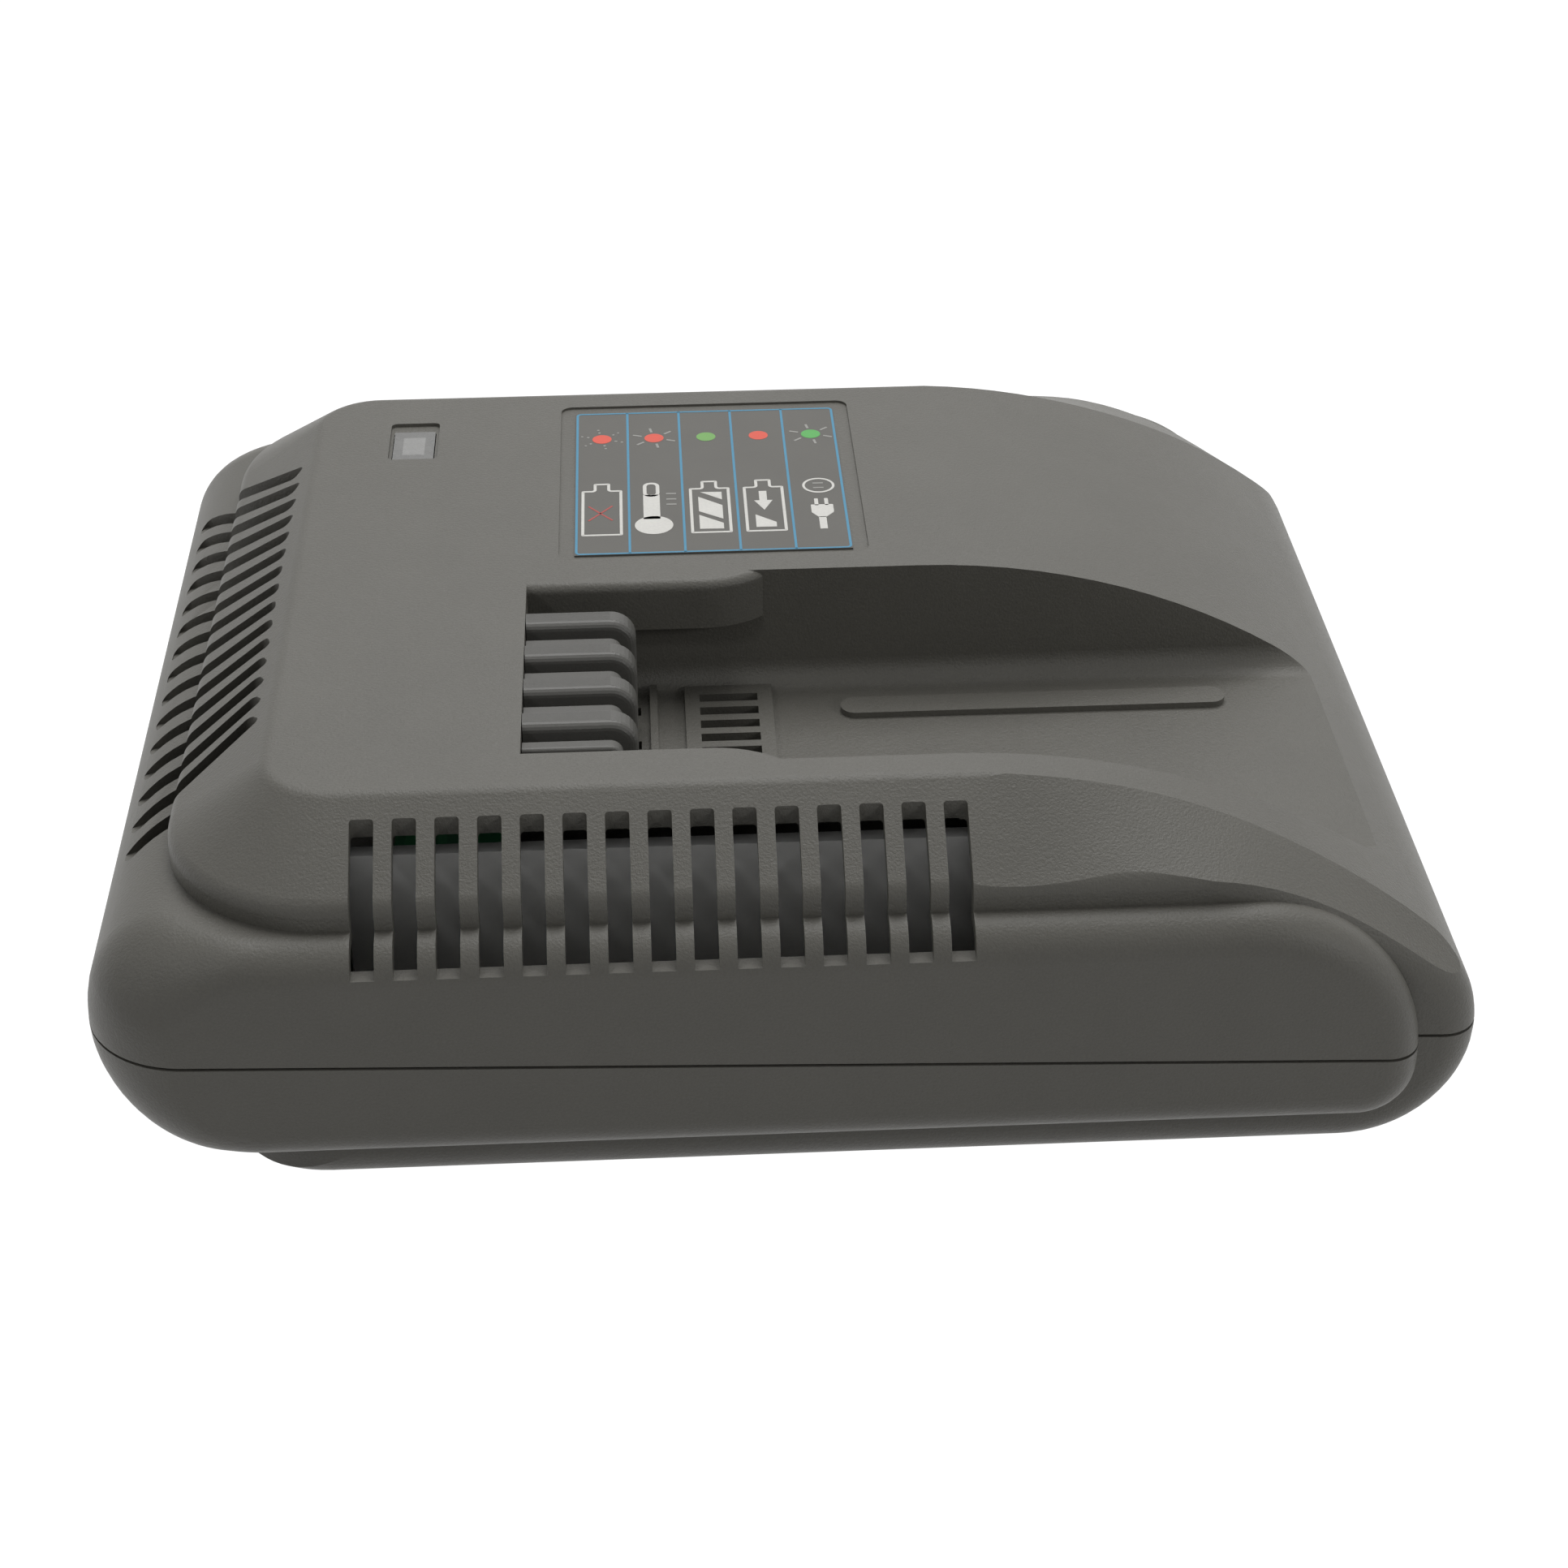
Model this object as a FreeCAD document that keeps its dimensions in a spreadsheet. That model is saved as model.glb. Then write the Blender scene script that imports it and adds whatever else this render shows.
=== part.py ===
import FreeCAD, Part
import math
import os
import re

# Battery charger for a slide-in tool battery. Millimetres, +Z up. The origin is the
# centre of the footprint on the table, +X is the end where the battery slides on,
# -Y is the side with the long row of vents.

SIZES = {
    # Main body, a tall wedge seen from the side
    "body_left": -91.0, "body_right": 103.0, "body_half": 80.5, "body_top": 61.5,
    "base_gap": 1.0, "crest_end": 25.0, "crown_radius": 112.0, "nose_radius": 20.5,
    "heel_radius": 22.0, "end_rounding": 6.0, "plan_corner": 25.0,
    "bevel_run": 15.0, "bevel_drop": 10.0, "bevel_softness": 3.0,
    "bevel_middle": 58.0, "bevel_middle_inset": 13.5,
    "bevel_far": 77.0, "bevel_far_inset": 10.9, "bevel_far_drop": 3.1,
    # Bulging band round the front, left and back
    "band_left": -103.0, "band_right": 93.0, "band_half": 86.5, "band_base": 10.0,
    "band_top": 47.5, "band_shoulder": 14.5, "band_shoulder_turn": 20.0, "band_belly": 28.75,
    "band_corner": 15.0, "band_turned": 14.0, "band_eased": 11.5, "band_eased_low": 7.0,
    "band_ease": -78.0, "band_end_top": 27.0, "band_end_base": 9.0,
    "band_rounding": 5.5,
    # Shell and the seam between its halves
    "wall": 2.5, "seam_height": 25.45, "seam_slope": 0.035, "seam_gap": 0.5,
    "lip_clearance": 0.25, "lip_wall": 1.25, "lip_rise": 3.0, "lip_root": 4.0,
    # Channel for the battery and the cavity over its terminals
    "channel_middle": -31.25, "channel_half": 28.85, "channel_floor": 40.5,
    "channel_start": -0.4, "channel_fillet": 4.0,
    "cavity_left": -38.5, "rail_half": 25.25, "lip_turn": 10.0, "lip_rounding": 1.6, "rail_underside": 53.0,
    "slide_rib_start": 11.7, "slide_rib_end": 74.6, "slide_rib_width": 5.0,
    "slide_rib_offset": 18.75, "slide_rib_rise": 1.0,
    "floor_rib_left": -19.3, "floor_rib_width": 1.2, "floor_rib_rise": 1.4,
    "step_left": -13.6, "step_right": 0.7, "step_half": 26.45, "step_rise": 0.9,
    "grille_left": -11.2, "grille_length": 9.5, "grille_pitch": 4.1, "grille_width": 2.3,
    "grille_count": 12, "drain_left": -22.0, "drain_width": 1.2, "drain_length": 2.4,
    "drain_near": 9.9, "drain_far": 20.3,
    # Vents
    "vent_count": 15, "vent_corner": 0.5, "front_vent_first": -61.05, "front_vent_pitch": 6.1,
    "front_vent_width": 3.5, "front_vent_inner": 69.1, "front_vent_low": 43.0,
    "side_vent_inner": -78.7, "side_vent_outer": -98.5, "side_vent_inner_pitch": 5.83,
    "side_vent_outer_pitch": 7.6, "side_vent_width": 3.3, "side_vent_low": 42.5,
    # Label and light window
    "label_left": -30.9, "label_length": 45.7, "label_front": 4.4, "label_width": 53.1,
    "label_sheet": 0.3, "label_depth": 0.4, "label_margin": 2.6, "label_corner": 2.0,
    "lens_left": -62.7, "lens_length": 7.1, "lens_front": 41.5, "lens_width": 11.1,
    "lens_corner": 1.0, "lens_recess": 0.6, "lens_margin": 0.7, "lens_shelf": 2.6,
    "lens_fit": 0.15, "lens_flange": 1.5, "lens_flange_height": 1.5, "lens_stem": 4.0,
    # Screws and bosses of the case
    "boss_left": -71.0, "boss_left_half": 60.0, "boss_right": 82.0, "boss_right_half": 66.0,
    "boss_radius": 5.5, "boss_meet": 20.0, "head_radius": 3.2, "head_height": 2.5,
    "head_seat": 12.0, "shank_radius": 1.6, "screw_reach": 32.0, "fit": 0.3,
    # Rubber feet
    "foot_radius": 7.5, "foot_height": 2.0, "foot_left": -54.0, "foot_right": 70.0,
    "foot_half": 60.0,
    # Main circuit board and its posts
    "board_left": -63.0, "board_right": 72.0, "board_half": 71.0, "board_seat": 12.0,
    "board_sheet": 1.6, "post_radius": 3.5, "post_inset": 6.5, "post_middle": 34.0,
    "board_screw_head": 2.8, "board_screw_head_height": 1.8, "board_screw_shank": 1.2,
    "board_screw_reach": 7.0,
    # Terminals
    "fin_count": 4, "fin_pitch": 10.1, "fin_width": 2.7, "fin_length": 16.7,
    "fin_rounding": 3.3, "insert_plate": 1.5, "insert_fit": 0.1, "key_width": 3.2,
    "key_length": 12.0, "key_rise": 8.5, "blade_sheet": 0.8, "blade_left": -35.5,
    "blade_length": 11.0, "blade_top": 55.0, "blade_slot": 0.3, "block_left": -37.5,
    "block_length": 14.0, "block_half": 19.0,
    # Fan
    "fan_centre": 4.0, "fan_side": 50.0, "fan_height": 15.0, "fan_bore": 23.5,
    "fan_corner": 3.0, "fan_screw_offset": 20.0, "hub_radius": 12.5, "hub_wall": 1.6,
    "spider_plate": 1.6, "spider_arm": 2.6, "bearing_radius": 3.0, "axle_radius": 1.2,
    "rotor_gap": 0.6, "rotor_height": 10.8, "blade_count": 7, "fan_blade_tip": 22.6,
    "fan_blade_sheet": 1.2, "fan_blade_pitch": 38.0, "fan_screw_shank": 1.3,
    "fan_screw_head": 2.6, "fan_screw_head_height": 1.6, "fan_screw_bite": 2.0,
    # Heat sinks and the parts bolted on them
    "front_sink_left": -64.0, "front_sink_right": 32.0, "front_sink_face": -70.0,
    "front_sink_top": 53.4, "sink_plate": 2.5, "rear_sink_left": -52.0,
    "rear_sink_right": 24.0, "rear_sink_face": 64.0, "rear_sink_top": 52.0,
    "sink_fin_count": 9, "sink_fin_depth": 6.0, "sink_fin_sheet": 1.4,
    "device_width": 10.0, "device_height": 16.0, "device_thick": 4.5, "device_lift": 4.0,
    "device_lead": 0.8, "device_pitch": 24.0, "front_device_first": -48.0,
    "rear_device_first": -42.0,
    # Transformer
    "core_x": -10.0, "core_y": 32.0, "core_length": 44.0, "core_depth": 16.0,
    "core_height": 36.0, "core_leg": 7.0, "core_centre_leg": 14.0, "core_yoke": 6.0,
    "bobbin_base": 4.0, "bobbin_wall": 1.2, "bobbin_flange": 1.5, "bobbin_reach": 6.0,
    "winding_margin": 0.8,
    # Other parts on the board
    "bulk_x": 29.0, "bulk_first": 18.0, "bulk_pitch": 25.0, "bulk_radius": 11.0,
    "bulk_height": 35.0, "smooth_x": -51.0, "smooth_first": 9.0, "smooth_pitch": 12.0,
    "smooth_count": 3, "smooth_radius": 5.0, "smooth_height": 22.0,
    "choke_x": 56.0, "choke_y": 20.0, "choke_ring": 8.0, "choke_wire": 4.5,
    "film_x": 44.0, "film_y": 34.0, "film_length": 26.0, "film_depth": 9.0,
    "film_height": 17.0, "fuse_x": 44.5, "fuse_y": 4.0, "fuse_radius": 2.6,
    "fuse_length": 20.0, "fuse_lift": 4.0, "clip_length": 5.0, "clip_width": 6.4,
    "chip_x": 50.0, "chip_y": -40.0, "chip_length": 14.0, "chip_width": 9.0,
    "chip_height": 1.8, "chip_pitch": 22.0,
    # Light board under the window
    "lamp_board_left": -69.0, "lamp_board_length": 21.0, "lamp_board_front": 33.8,
    "lamp_board_width": 20.0, "lamp_board_sheet": 1.2, "lamp_post": 2.2, "lamp_pin": 1.1,
    "lamp_post_inset": 2.6, "lamp_height": 1.4, "lamp_side": 3.0, "lamp_pitch": 4.4,
    # Mains inlet in the back wall
    "inlet_x": 59.0, "inlet_z": 33.0, "inlet_length": 24.0, "inlet_tall": 13.0,
    "inlet_deep": 19.0, "inlet_flange": 2.0, "inlet_flange_thick": 2.0,
    "socket_length": 17.0, "socket_tall": 9.0, "socket_deep": 12.0, "pin_pitch": 8.6,
    "pin_radius": 1.2, "pin_length": 9.0, "tab_length": 3.0,
    # Leads inside the case
    "lead_radius": 1.0, "thin_lead_radius": 0.8, "header_height": 6.0,
    "header_side": 8.0, "inlet_lead_run": 14.0, "fan_lead_run": 14.0, "fan_lead_lift": 7.0,
    "lamp_lead_shift": 4.0,
}

document = FreeCAD.newDocument("battery_charger")
sheet = document.addObject("Spreadsheet::Sheet", "Sizes")
for row, (alias, number) in enumerate(SIZES.items(), start=1):
    cell = "A" + str(row)
    sheet.set(cell, str(number))
    sheet.setAlias(cell, alias)
document.recompute()

nodes = []


def size(alias):
    """The present value of one cell of the sheet."""
    return float(sheet.get(alias))


def bind(item, prop, text):
    """Tie a property to an expression written with the aliases of the sheet."""
    item.setExpression(prop, re.sub(r"[a-z_]{3,}(?!\()", lambda word: "Sizes." + word.group(), text))


def place(item, corner):
    for axis, text in zip("xyz", corner):
        bind(item, "Placement.Base." + axis, text)
    return item


def box(name, corner, sides):
    item = document.addObject("Part::Box", name)
    for prop, text in zip(("Length", "Width", "Height"), sides):
        bind(item, prop, text)
    return place(item, corner)


def rod(name, foot, radius, height):
    """An upright cylinder."""
    item = document.addObject("Part::Cylinder", name)
    bind(item, "Radius", radius)
    bind(item, "Height", height)
    return place(item, foot)


def lying_rod(name, foot, radius, length, axis):
    """A cylinder that lies along X or Y."""
    item = rod(name, foot, radius, length)
    turn = FreeCAD.Rotation(FreeCAD.Vector(0, 0, 1), FreeCAD.Vector(*axis))
    item.Placement.Rotation = turn
    return item


def cut(name, base, tool):
    item = document.addObject("Part::Cut", name)
    item.Base = base
    item.Tool = tool
    return item


def join(name, parts):
    item = document.addObject("Part::MultiFuse", name)
    item.Shapes = parts
    return item


def group(name, parts):
    """Separate solids kept together as one sub-part."""
    item = document.addObject("Part::Compound", name)
    item.Links = parts
    return item


def shaped(name, solid):
    item = document.addObject("Part::Feature", name)
    item.Shape = solid
    item.Placement = FreeCAD.Placement()
    return item


def node(item, label):
    item.Label = label
    nodes.append(item)
    return item


def vector(x, y, z):
    return FreeCAD.Vector(x, y, z)


def upright(edge):
    """True for a straight edge along Z."""
    return edge.Curve.TypeId == "Part::GeomLine" and abs(edge.Curve.Direction.z) > 0.99


# Outer form of the case. Every function takes an inset, so that the same form
# drawn further in gives the inside of the wall and the lip at the seam.

def side_wedge(inset):
    """The main body as its side view, drawn front to back, with its end edges rounded."""
    left, right = size("body_left") + inset, size("body_right") - inset
    top, base = size("body_top") - inset, size("base_gap") + inset
    crest = size("crest_end")
    crown, nose, heel = (size(key) - inset for key in ("crown_radius", "nose_radius", "heel_radius"))
    crown_z = top - crown
    nose_x = right - nose
    sweep = math.asin((nose_x - crest) / (crown - nose))
    nose_z = crown_z + (crown - nose) * math.cos(sweep)
    chin = nose_z - base
    chin_x = right - chin

    def on(centre_x, centre_z, radius, angle):
        return vector(centre_x + radius * math.cos(angle), 0, centre_z + radius * math.sin(angle))

    quarter = math.pi / 2
    crown_end = on(crest, crown_z, crown, quarter - sweep)
    heel_x, heel_z = left + heel, base + heel
    edges = [
        Part.LineSegment(vector(left, 0, top), vector(crest, 0, top)),
        Part.Arc(vector(crest, 0, top), on(crest, crown_z, crown, quarter - sweep / 2), crown_end),
        Part.Arc(crown_end, on(nose_x, nose_z, nose, (quarter - sweep) / 2), vector(right, 0, nose_z)),
        Part.Arc(vector(right, 0, nose_z), on(chin_x, nose_z, chin, -quarter / 2), vector(chin_x, 0, base)),
        Part.LineSegment(vector(chin_x, 0, base), vector(heel_x, 0, base)),
        Part.Arc(
            vector(heel_x, 0, base), on(heel_x, heel_z, heel, -1.5 * quarter), vector(left, 0, heel_z)),
        Part.LineSegment(vector(left, 0, heel_z), vector(left, 0, top)),
    ]
    half = size("body_half") - inset
    face = Part.Face(Part.Wire([edge.toShape() for edge in edges]))
    face.translate(vector(0, -half, 0))
    solid = face.extrude(vector(0, 2 * half, 0))
    outline = [
        edge for edge in solid.Edges
        if abs(abs(edge.CenterOfMass.y) - half) < 1e-6 and edge.CenterOfMass.x > left + 1e-6
    ]
    return solid.makeFillet(size("end_rounding") - inset, outline)


def bevelled_cap(inset):
    """A block with a sloping bevel round its top, which trims the main body."""
    left, half, top = size("body_left") + inset, size("body_half") - inset, size("body_top") - inset
    run, drop = size("bevel_run"), size("bevel_drop")
    slant = math.hypot(run, drop)
    beyond = 2 * size("crown_radius")
    block = Part.makeBox(beyond - left, 2 * half, top + beyond, vector(left, -half, -beyond))
    corners = [edge for edge in block.Edges if upright(edge) and edge.CenterOfMass.x < 0]
    block = block.makeFillet(size("plan_corner") - inset, corners)
    rim = [
        edge for edge in block.Edges
        if abs(edge.CenterOfMass.z - top) < 1e-6 and edge.CenterOfMass.x < beyond - 1
    ]
    run_here = run - inset * (run + drop - slant) / drop
    drop_here = run_here * drop / run
    block = block.makeChamfer(drop_here, run_here, rim)
    ridges = [
        edge for edge in block.Edges
        if edge.CenterOfMass.z > top - drop_here - 1e-6 and edge.CenterOfMass.x < beyond - 1
        and abs(edge.BoundBox.ZLength) < 1e-6
    ]
    return block.makeFillet(size("bevel_softness"), ridges)


def fading_bevel(inset, side):
    """The bevel of a long side where the body curves down: it narrows towards the nose."""
    crest, crown = size("crest_end"), size("crown_radius")
    crown_z = size("body_top") - crown
    half, run, drop = size("body_half"), size("bevel_run"), size("bevel_drop")
    middle, far = size("bevel_middle"), size("bevel_far")
    halfway = 0.5 * (crest + middle)

    def fall_left(x):
        return drop - crown + math.sqrt(crown ** 2 - (x - crest) ** 2) + 0.1

    sections = []
    for x, inward, fall in (
        (crest, run, drop),
        (halfway, 0.5 * (run + size("bevel_middle_inset")) + 0.2, fall_left(halfway)),
        (middle, size("bevel_middle_inset"), fall_left(middle)),
        (far, size("bevel_far_inset"), size("bevel_far_drop")),
        (size("body_right"), size("end_rounding"), size("bevel_far_drop")),
    ):
        surface = crown_z + math.sqrt(crown ** 2 - (x - crest) ** 2)
        tilt = fall / inward
        lower = inset * math.hypot(1, tilt) + inset * 0.1

        def height(y):
            return surface - lower - tilt * (y - half + inward)

        inner, outer, above = half - 2 * run, half + run, surface + crown
        corners = [
            vector(x, side * inner, height(inner)), vector(x, side * outer, height(outer)),
            vector(x, side * outer, above), vector(x, side * inner, above),
        ]
        sections.append(Part.makePolygon(corners + corners[:1]))
    return Part.makeLoft(sections, True, False)


def bulging_band(inset):
    """The pillow-shaped band that stands out round the front, left and back."""
    left, right = size("band_left") + inset, size("band_right") - inset
    half, base, top = size("band_half") - inset, size("band_base") + inset, size("band_top") - inset
    shoulder, belly = size("band_shoulder") - inset, size("band_belly")
    keel = belly - base
    turn = math.radians(size("band_shoulder_turn"))
    shoulder_z = top - shoulder
    flank = (shoulder_z + shoulder * math.sin(turn) - belly) / math.sin(turn)
    flank_x = left + flank
    shoulder_x = flank_x - (flank - shoulder) * math.cos(turn)

    def on(centre_x, centre_z, radius, degrees):
        angle = math.radians(degrees)
        return vector(centre_x + radius * math.cos(angle), -half, centre_z + radius * math.sin(angle))

    joint = 180 - math.degrees(turn)
    upper, lower = size("band_end_top") - inset, size("band_end_base") - inset
    ease = size("band_ease")
    edges = [
        Part.LineSegment(on(right - upper, top - upper, upper, 90), vector(ease, -half, top)),
        Part.LineSegment(vector(ease, -half, top), on(shoulder_x, shoulder_z, shoulder, 90)),
        Part.Arc(on(shoulder_x, shoulder_z, shoulder, 90), on(shoulder_x, shoulder_z, shoulder, 120),
                 on(shoulder_x, shoulder_z, shoulder, joint)),
        Part.Arc(on(flank_x, belly, flank, joint), on(flank_x, belly, flank, (joint + 180) / 2),
                 on(flank_x, belly, flank, 180)),
        Part.Arc(on(left + keel, belly, keel, 180), on(left + keel, belly, keel, 225),
                 on(left + keel, belly, keel, 270)),
        Part.LineSegment(on(left + keel, belly, keel, 270), vector(ease, -half, base)),
        Part.LineSegment(vector(ease, -half, base), on(right - lower, base + lower, lower, 270)),
        Part.Arc(on(right - lower, base + lower, lower, 270), on(right - lower, base + lower, lower, 315),
                 on(right - lower, base + lower, lower, 360)),
        Part.LineSegment(
            on(right - lower, base + lower, lower, 360), on(right - upper, top - upper, upper, 0)),
        Part.Arc(on(right - upper, top - upper, upper, 0), on(right - upper, top - upper, upper, 45),
                 on(right - upper, top - upper, upper, 90)),
    ]
    face = Part.Face(Part.Wire([edge.toShape() for edge in edges]))
    block = shaped("BandBlock" + str(len(document.Objects)), face.extrude(vector(0, 2 * half, 0)))
    rounded = document.addObject("Part::Fillet", block.Name + "Rounded")
    rounded.Base = block
    small, eased, eased_low, turned, large = (
        size(key) - inset
        for key in ("band_rounding", "band_eased", "band_eased_low", "band_turned", "band_corner"))

    def rounding(point):
        """Radius of the outline edges: it grows towards the left end's widest level."""
        if abs(point.x - left) < 1e-3:
            return large
        if abs(point.z - on(flank_x, belly, flank, joint).z) < 1e-3 and point.x < 0:
            return turned
        if point.x < ease - 1e-3:
            return eased if point.z > belly else eased_low
        return small

    rounded.Edges = [
        (number, rounding(edge.valueAt(edge.FirstParameter)), rounding(edge.valueAt(edge.LastParameter)))
        for number, edge in enumerate(block.Shape.Edges, start=1)
        if abs(abs(edge.CenterOfMass.y) - half) < 1e-6
    ]
    document.recompute()
    return rounded.Shape


def case_form(inset):
    body = side_wedge(inset).common(bevelled_cap(inset))
    for side in (-1, 1):
        body = body.cut(fading_bevel(inset, side))
    return body.fuse(bulging_band(inset)).removeSplitter()


def seam_slab(low, high):
    """Everything between two levels measured from the sloping seam."""
    reach = 2 * size("crown_radius")
    slab = Part.makeBox(2 * reach, 2 * reach, high - low, vector(-reach, -reach, low))
    slab.rotate(vector(0, 0, 0), vector(0, 1, 0), math.degrees(math.atan(size("seam_slope"))))
    slab.translate(vector(0, 0, size("seam_height")))
    return slab


def post(x, y, low, high, radius):
    return Part.makeCylinder(radius, high - low, vector(x, y, low))


def boss_places():
    """Centres of the four case screws."""
    for x, y in (("boss_left", "boss_left_half"), ("boss_right", "boss_right_half")):
        for side in (-1, 1):
            yield size(x), side * size(y)


def rounded_block(corner, sides, radius, picked):
    """A block with the picked edges rounded."""
    block = Part.makeBox(*sides, vector(*corner))
    return block.makeFillet(radius, [edge for edge in block.Edges if picked(edge)])


def channel_space():
    """The open space of the battery channel and the terminal cavity."""
    middle, half, floor = size("channel_middle"), size("channel_half"), size("channel_floor")
    start, left, above = size("channel_start"), size("cavity_left"), size("body_top") + 10
    beyond = size("body_right") + 10
    radius = size("channel_fillet")

    def along_floor(edge):
        return edge.BoundBox.XLength > 1 and abs(edge.CenterOfMass.z - floor) < 1e-6

    run = rounded_block(
        (start, middle - half, floor), (beyond - start, 2 * half, above - floor), radius, along_floor)
    under = rounded_block(
        (left, middle - half, floor), (beyond - left, 2 * half, size("rail_underside") - floor),
        radius, along_floor)
    rail = size("rail_half")
    slot = Part.makeBox(beyond - left, 2 * rail, above - floor - radius,
                        vector(left, middle - rail, floor + radius))
    reach, depth = size("lip_turn"), half - rail
    turn = (reach ** 2 + depth ** 2) / (2 * depth)
    angle = math.asin(reach / turn) / 2
    low, turned = floor + radius, []
    for side in (-1, 1):
        heel = vector(start - reach, middle + side * rail, low)
        corner = vector(start, middle + side * rail, low)
        toe = vector(start, middle + side * half, low)
        bend = heel + vector(turn * math.sin(angle), side * turn * (1 - math.cos(angle)), 0)
        outline = [Part.LineSegment(heel, corner), Part.LineSegment(corner, toe), Part.Arc(toe, bend, heel)]
        face = Part.Face(Part.Wire([edge.toShape() for edge in outline]))
        turned.append(face.extrude(vector(0, 0, above - low)))
    return run.fuse([under, slot] + turned)


def rounded_lip(solid):
    """Rounds the top edge of the rail behind the terminals."""
    left, start, top = size("cavity_left"), size("channel_start"), size("body_top")
    low = size("channel_middle") + size("rail_half")
    edges = [
        edge for edge in solid.Edges
        if abs(edge.BoundBox.ZMin - top) < 1e-4 and edge.BoundBox.XLength > 1
        and edge.BoundBox.XMin > left - 0.1 and edge.BoundBox.XMax < start + 0.1
        and low - 0.1 < edge.CenterOfMass.y < size("channel_middle") + size("channel_half")
    ]
    return solid.makeFillet(size("lip_rounding"), edges)


def channel_floor_details():
    """Slide ribs, the cross rib and the raised step with the air grille."""
    middle, floor = size("channel_middle"), size("channel_floor")
    pieces = []
    start, length = size("slide_rib_start"), size("slide_rib_end") - size("slide_rib_start")
    width, root = size("slide_rib_width"), size("wall") / 2
    for side in (-1, 1):
        y = middle + side * size("slide_rib_offset") - width / 2
        pieces.append(rounded_block(
            (start, y, floor - root), (length, width, root + size("slide_rib_rise")), width / 2.1, upright))
    half = size("step_half")
    pieces.append(Part.makeBox(
        size("floor_rib_width"), 2 * half, root + size("floor_rib_rise"),
        vector(size("floor_rib_left"), middle - half, floor - root)))
    pieces.append(Part.makeBox(
        size("step_right") - size("step_left"), 2 * half, root + size("step_rise"),
        vector(size("step_left"), middle - half, floor - root)))
    return pieces


def channel_floor_openings():
    """Air grille, small drains and the slots that the terminal blades pass through."""
    middle, below = size("channel_middle"), size("channel_floor") - 2 * size("wall")
    deep = 4 * size("wall")
    pitch, width = size("grille_pitch"), size("grille_width")
    count = int(size("grille_count"))
    holes = []
    for number in range(count):
        y = middle + (number - (count - 1) / 2) * pitch - width / 2
        holes.append(Part.makeBox(size("grille_length"), width, deep, vector(size("grille_left"), y, below)))
    for offset in (size("drain_near"), size("drain_far")):
        for side in (-1, 1):
            y = middle + side * offset - size("drain_length") / 2
            holes.append(Part.makeBox(
                size("drain_width"), size("drain_length"), deep, vector(size("drain_left"), y, below)))
    slot = size("blade_slot")
    for y in blade_rows():
        holes.append(Part.makeBox(
            size("blade_length") + 2 * slot, size("blade_sheet") + 2 * slot, deep,
            vector(size("blade_left") - slot, y - size("blade_sheet") / 2 - slot, below)))
    return holes


def blade_rows():
    """Y of each terminal blade: the middle of each gap between two fins."""
    gaps = int(size("fin_count")) - 1
    for number in range(gaps):
        yield size("channel_middle") + (number - (gaps - 1) / 2) * size("fin_pitch")


def vent_slots():
    """Cutters for the straight front vents and the fanned side vents."""
    count, above = int(size("vent_count")), size("body_top") + 5
    cutters = []
    width, outer = size("front_vent_width"), size("band_half") + 5
    low, inner = size("front_vent_low"), size("front_vent_inner")
    for number in range(count):
        x = size("front_vent_first") + number * size("front_vent_pitch")
        cutters.append(rounded_block(
            (x - width / 2, -outer, low), (width, outer - inner, above - low), size("vent_corner"),
            lambda edge: upright(edge) and edge.CenterOfMass.y > -outer + 1))
    width, low = size("side_vent_width"), size("side_vent_low")
    for number in range(count):
        step = number - (count - 1) / 2
        near = vector(size("side_vent_inner"), step * size("side_vent_inner_pitch"), low)
        far = vector(size("side_vent_outer"), step * size("side_vent_outer_pitch"), low)
        length = near.distanceToPoint(far)
        slot = rounded_block((0, -width / 2, 0), (length, width, above - low), width / 3, upright)
        turn = math.degrees(math.atan2(far.y - near.y, far.x - near.x))
        slot.rotate(vector(0, 0, 0), vector(0, 0, 1), turn)
        slot.translate(near)
        cutters.append(slot)
    return cutters


def upper_housing():
    outer, hollow = case_form(0), case_form(size("wall"))
    above = seam_slab(size("seam_gap") / 2, 4 * size("body_top"))
    wall, middle, half = size("wall"), size("channel_middle"), size("channel_half")
    tray = Part.makeBox(
        2 * size("body_right"), 2 * (half + wall), size("body_top"),
        vector(size("cavity_left") - wall, middle - half - wall, size("channel_floor") - wall))
    solid = outer.cut(hollow).common(above).fuse(outer.common(tray))
    additions = channel_floor_details()
    space = channel_space()
    solid = rounded_lip(solid.cut(space))
    for x, y in boss_places():
        column = post(x, y, size("boss_meet"), size("body_top"), size("boss_radius"))
        additions.append(outer.common(column).cut(space))
    roof = size("body_top") - wall
    lamp_seat = lamp_board_top()
    for x, y in lamp_post_places():
        additions.append(post(x, y, lamp_seat, roof + wall / 2, size("lamp_post")))
        additions.append(post(x, y, lamp_seat - 2 * size("lamp_board_sheet"), lamp_seat, size("lamp_pin")))
    solid = solid.fuse(additions)
    removals = vent_slots() + channel_floor_openings()
    for x, y in boss_places():
        removals.append(post(x, y, 0, size("screw_reach") + 1, size("shank_radius") + size("fit") / 2))
    removals += [label_recess(), lens_recess(), lens_hole(), inlet_hole()]
    removals += fan_pilot_holes()
    return solid.cut(removals)


def lamp_board_top():
    """Top of the light board: it hangs below the window by the stem of the light pipe."""
    return size("body_top") - size("wall") - size("lens_stem") - size("lamp_height")


def lamp_post_places():
    inset = size("lamp_post_inset")
    left, front = size("lamp_board_left"), size("lamp_board_front")
    yield left + inset, front + inset
    yield left + size("lamp_board_length") - inset, front + size("lamp_board_width") - inset


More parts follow.
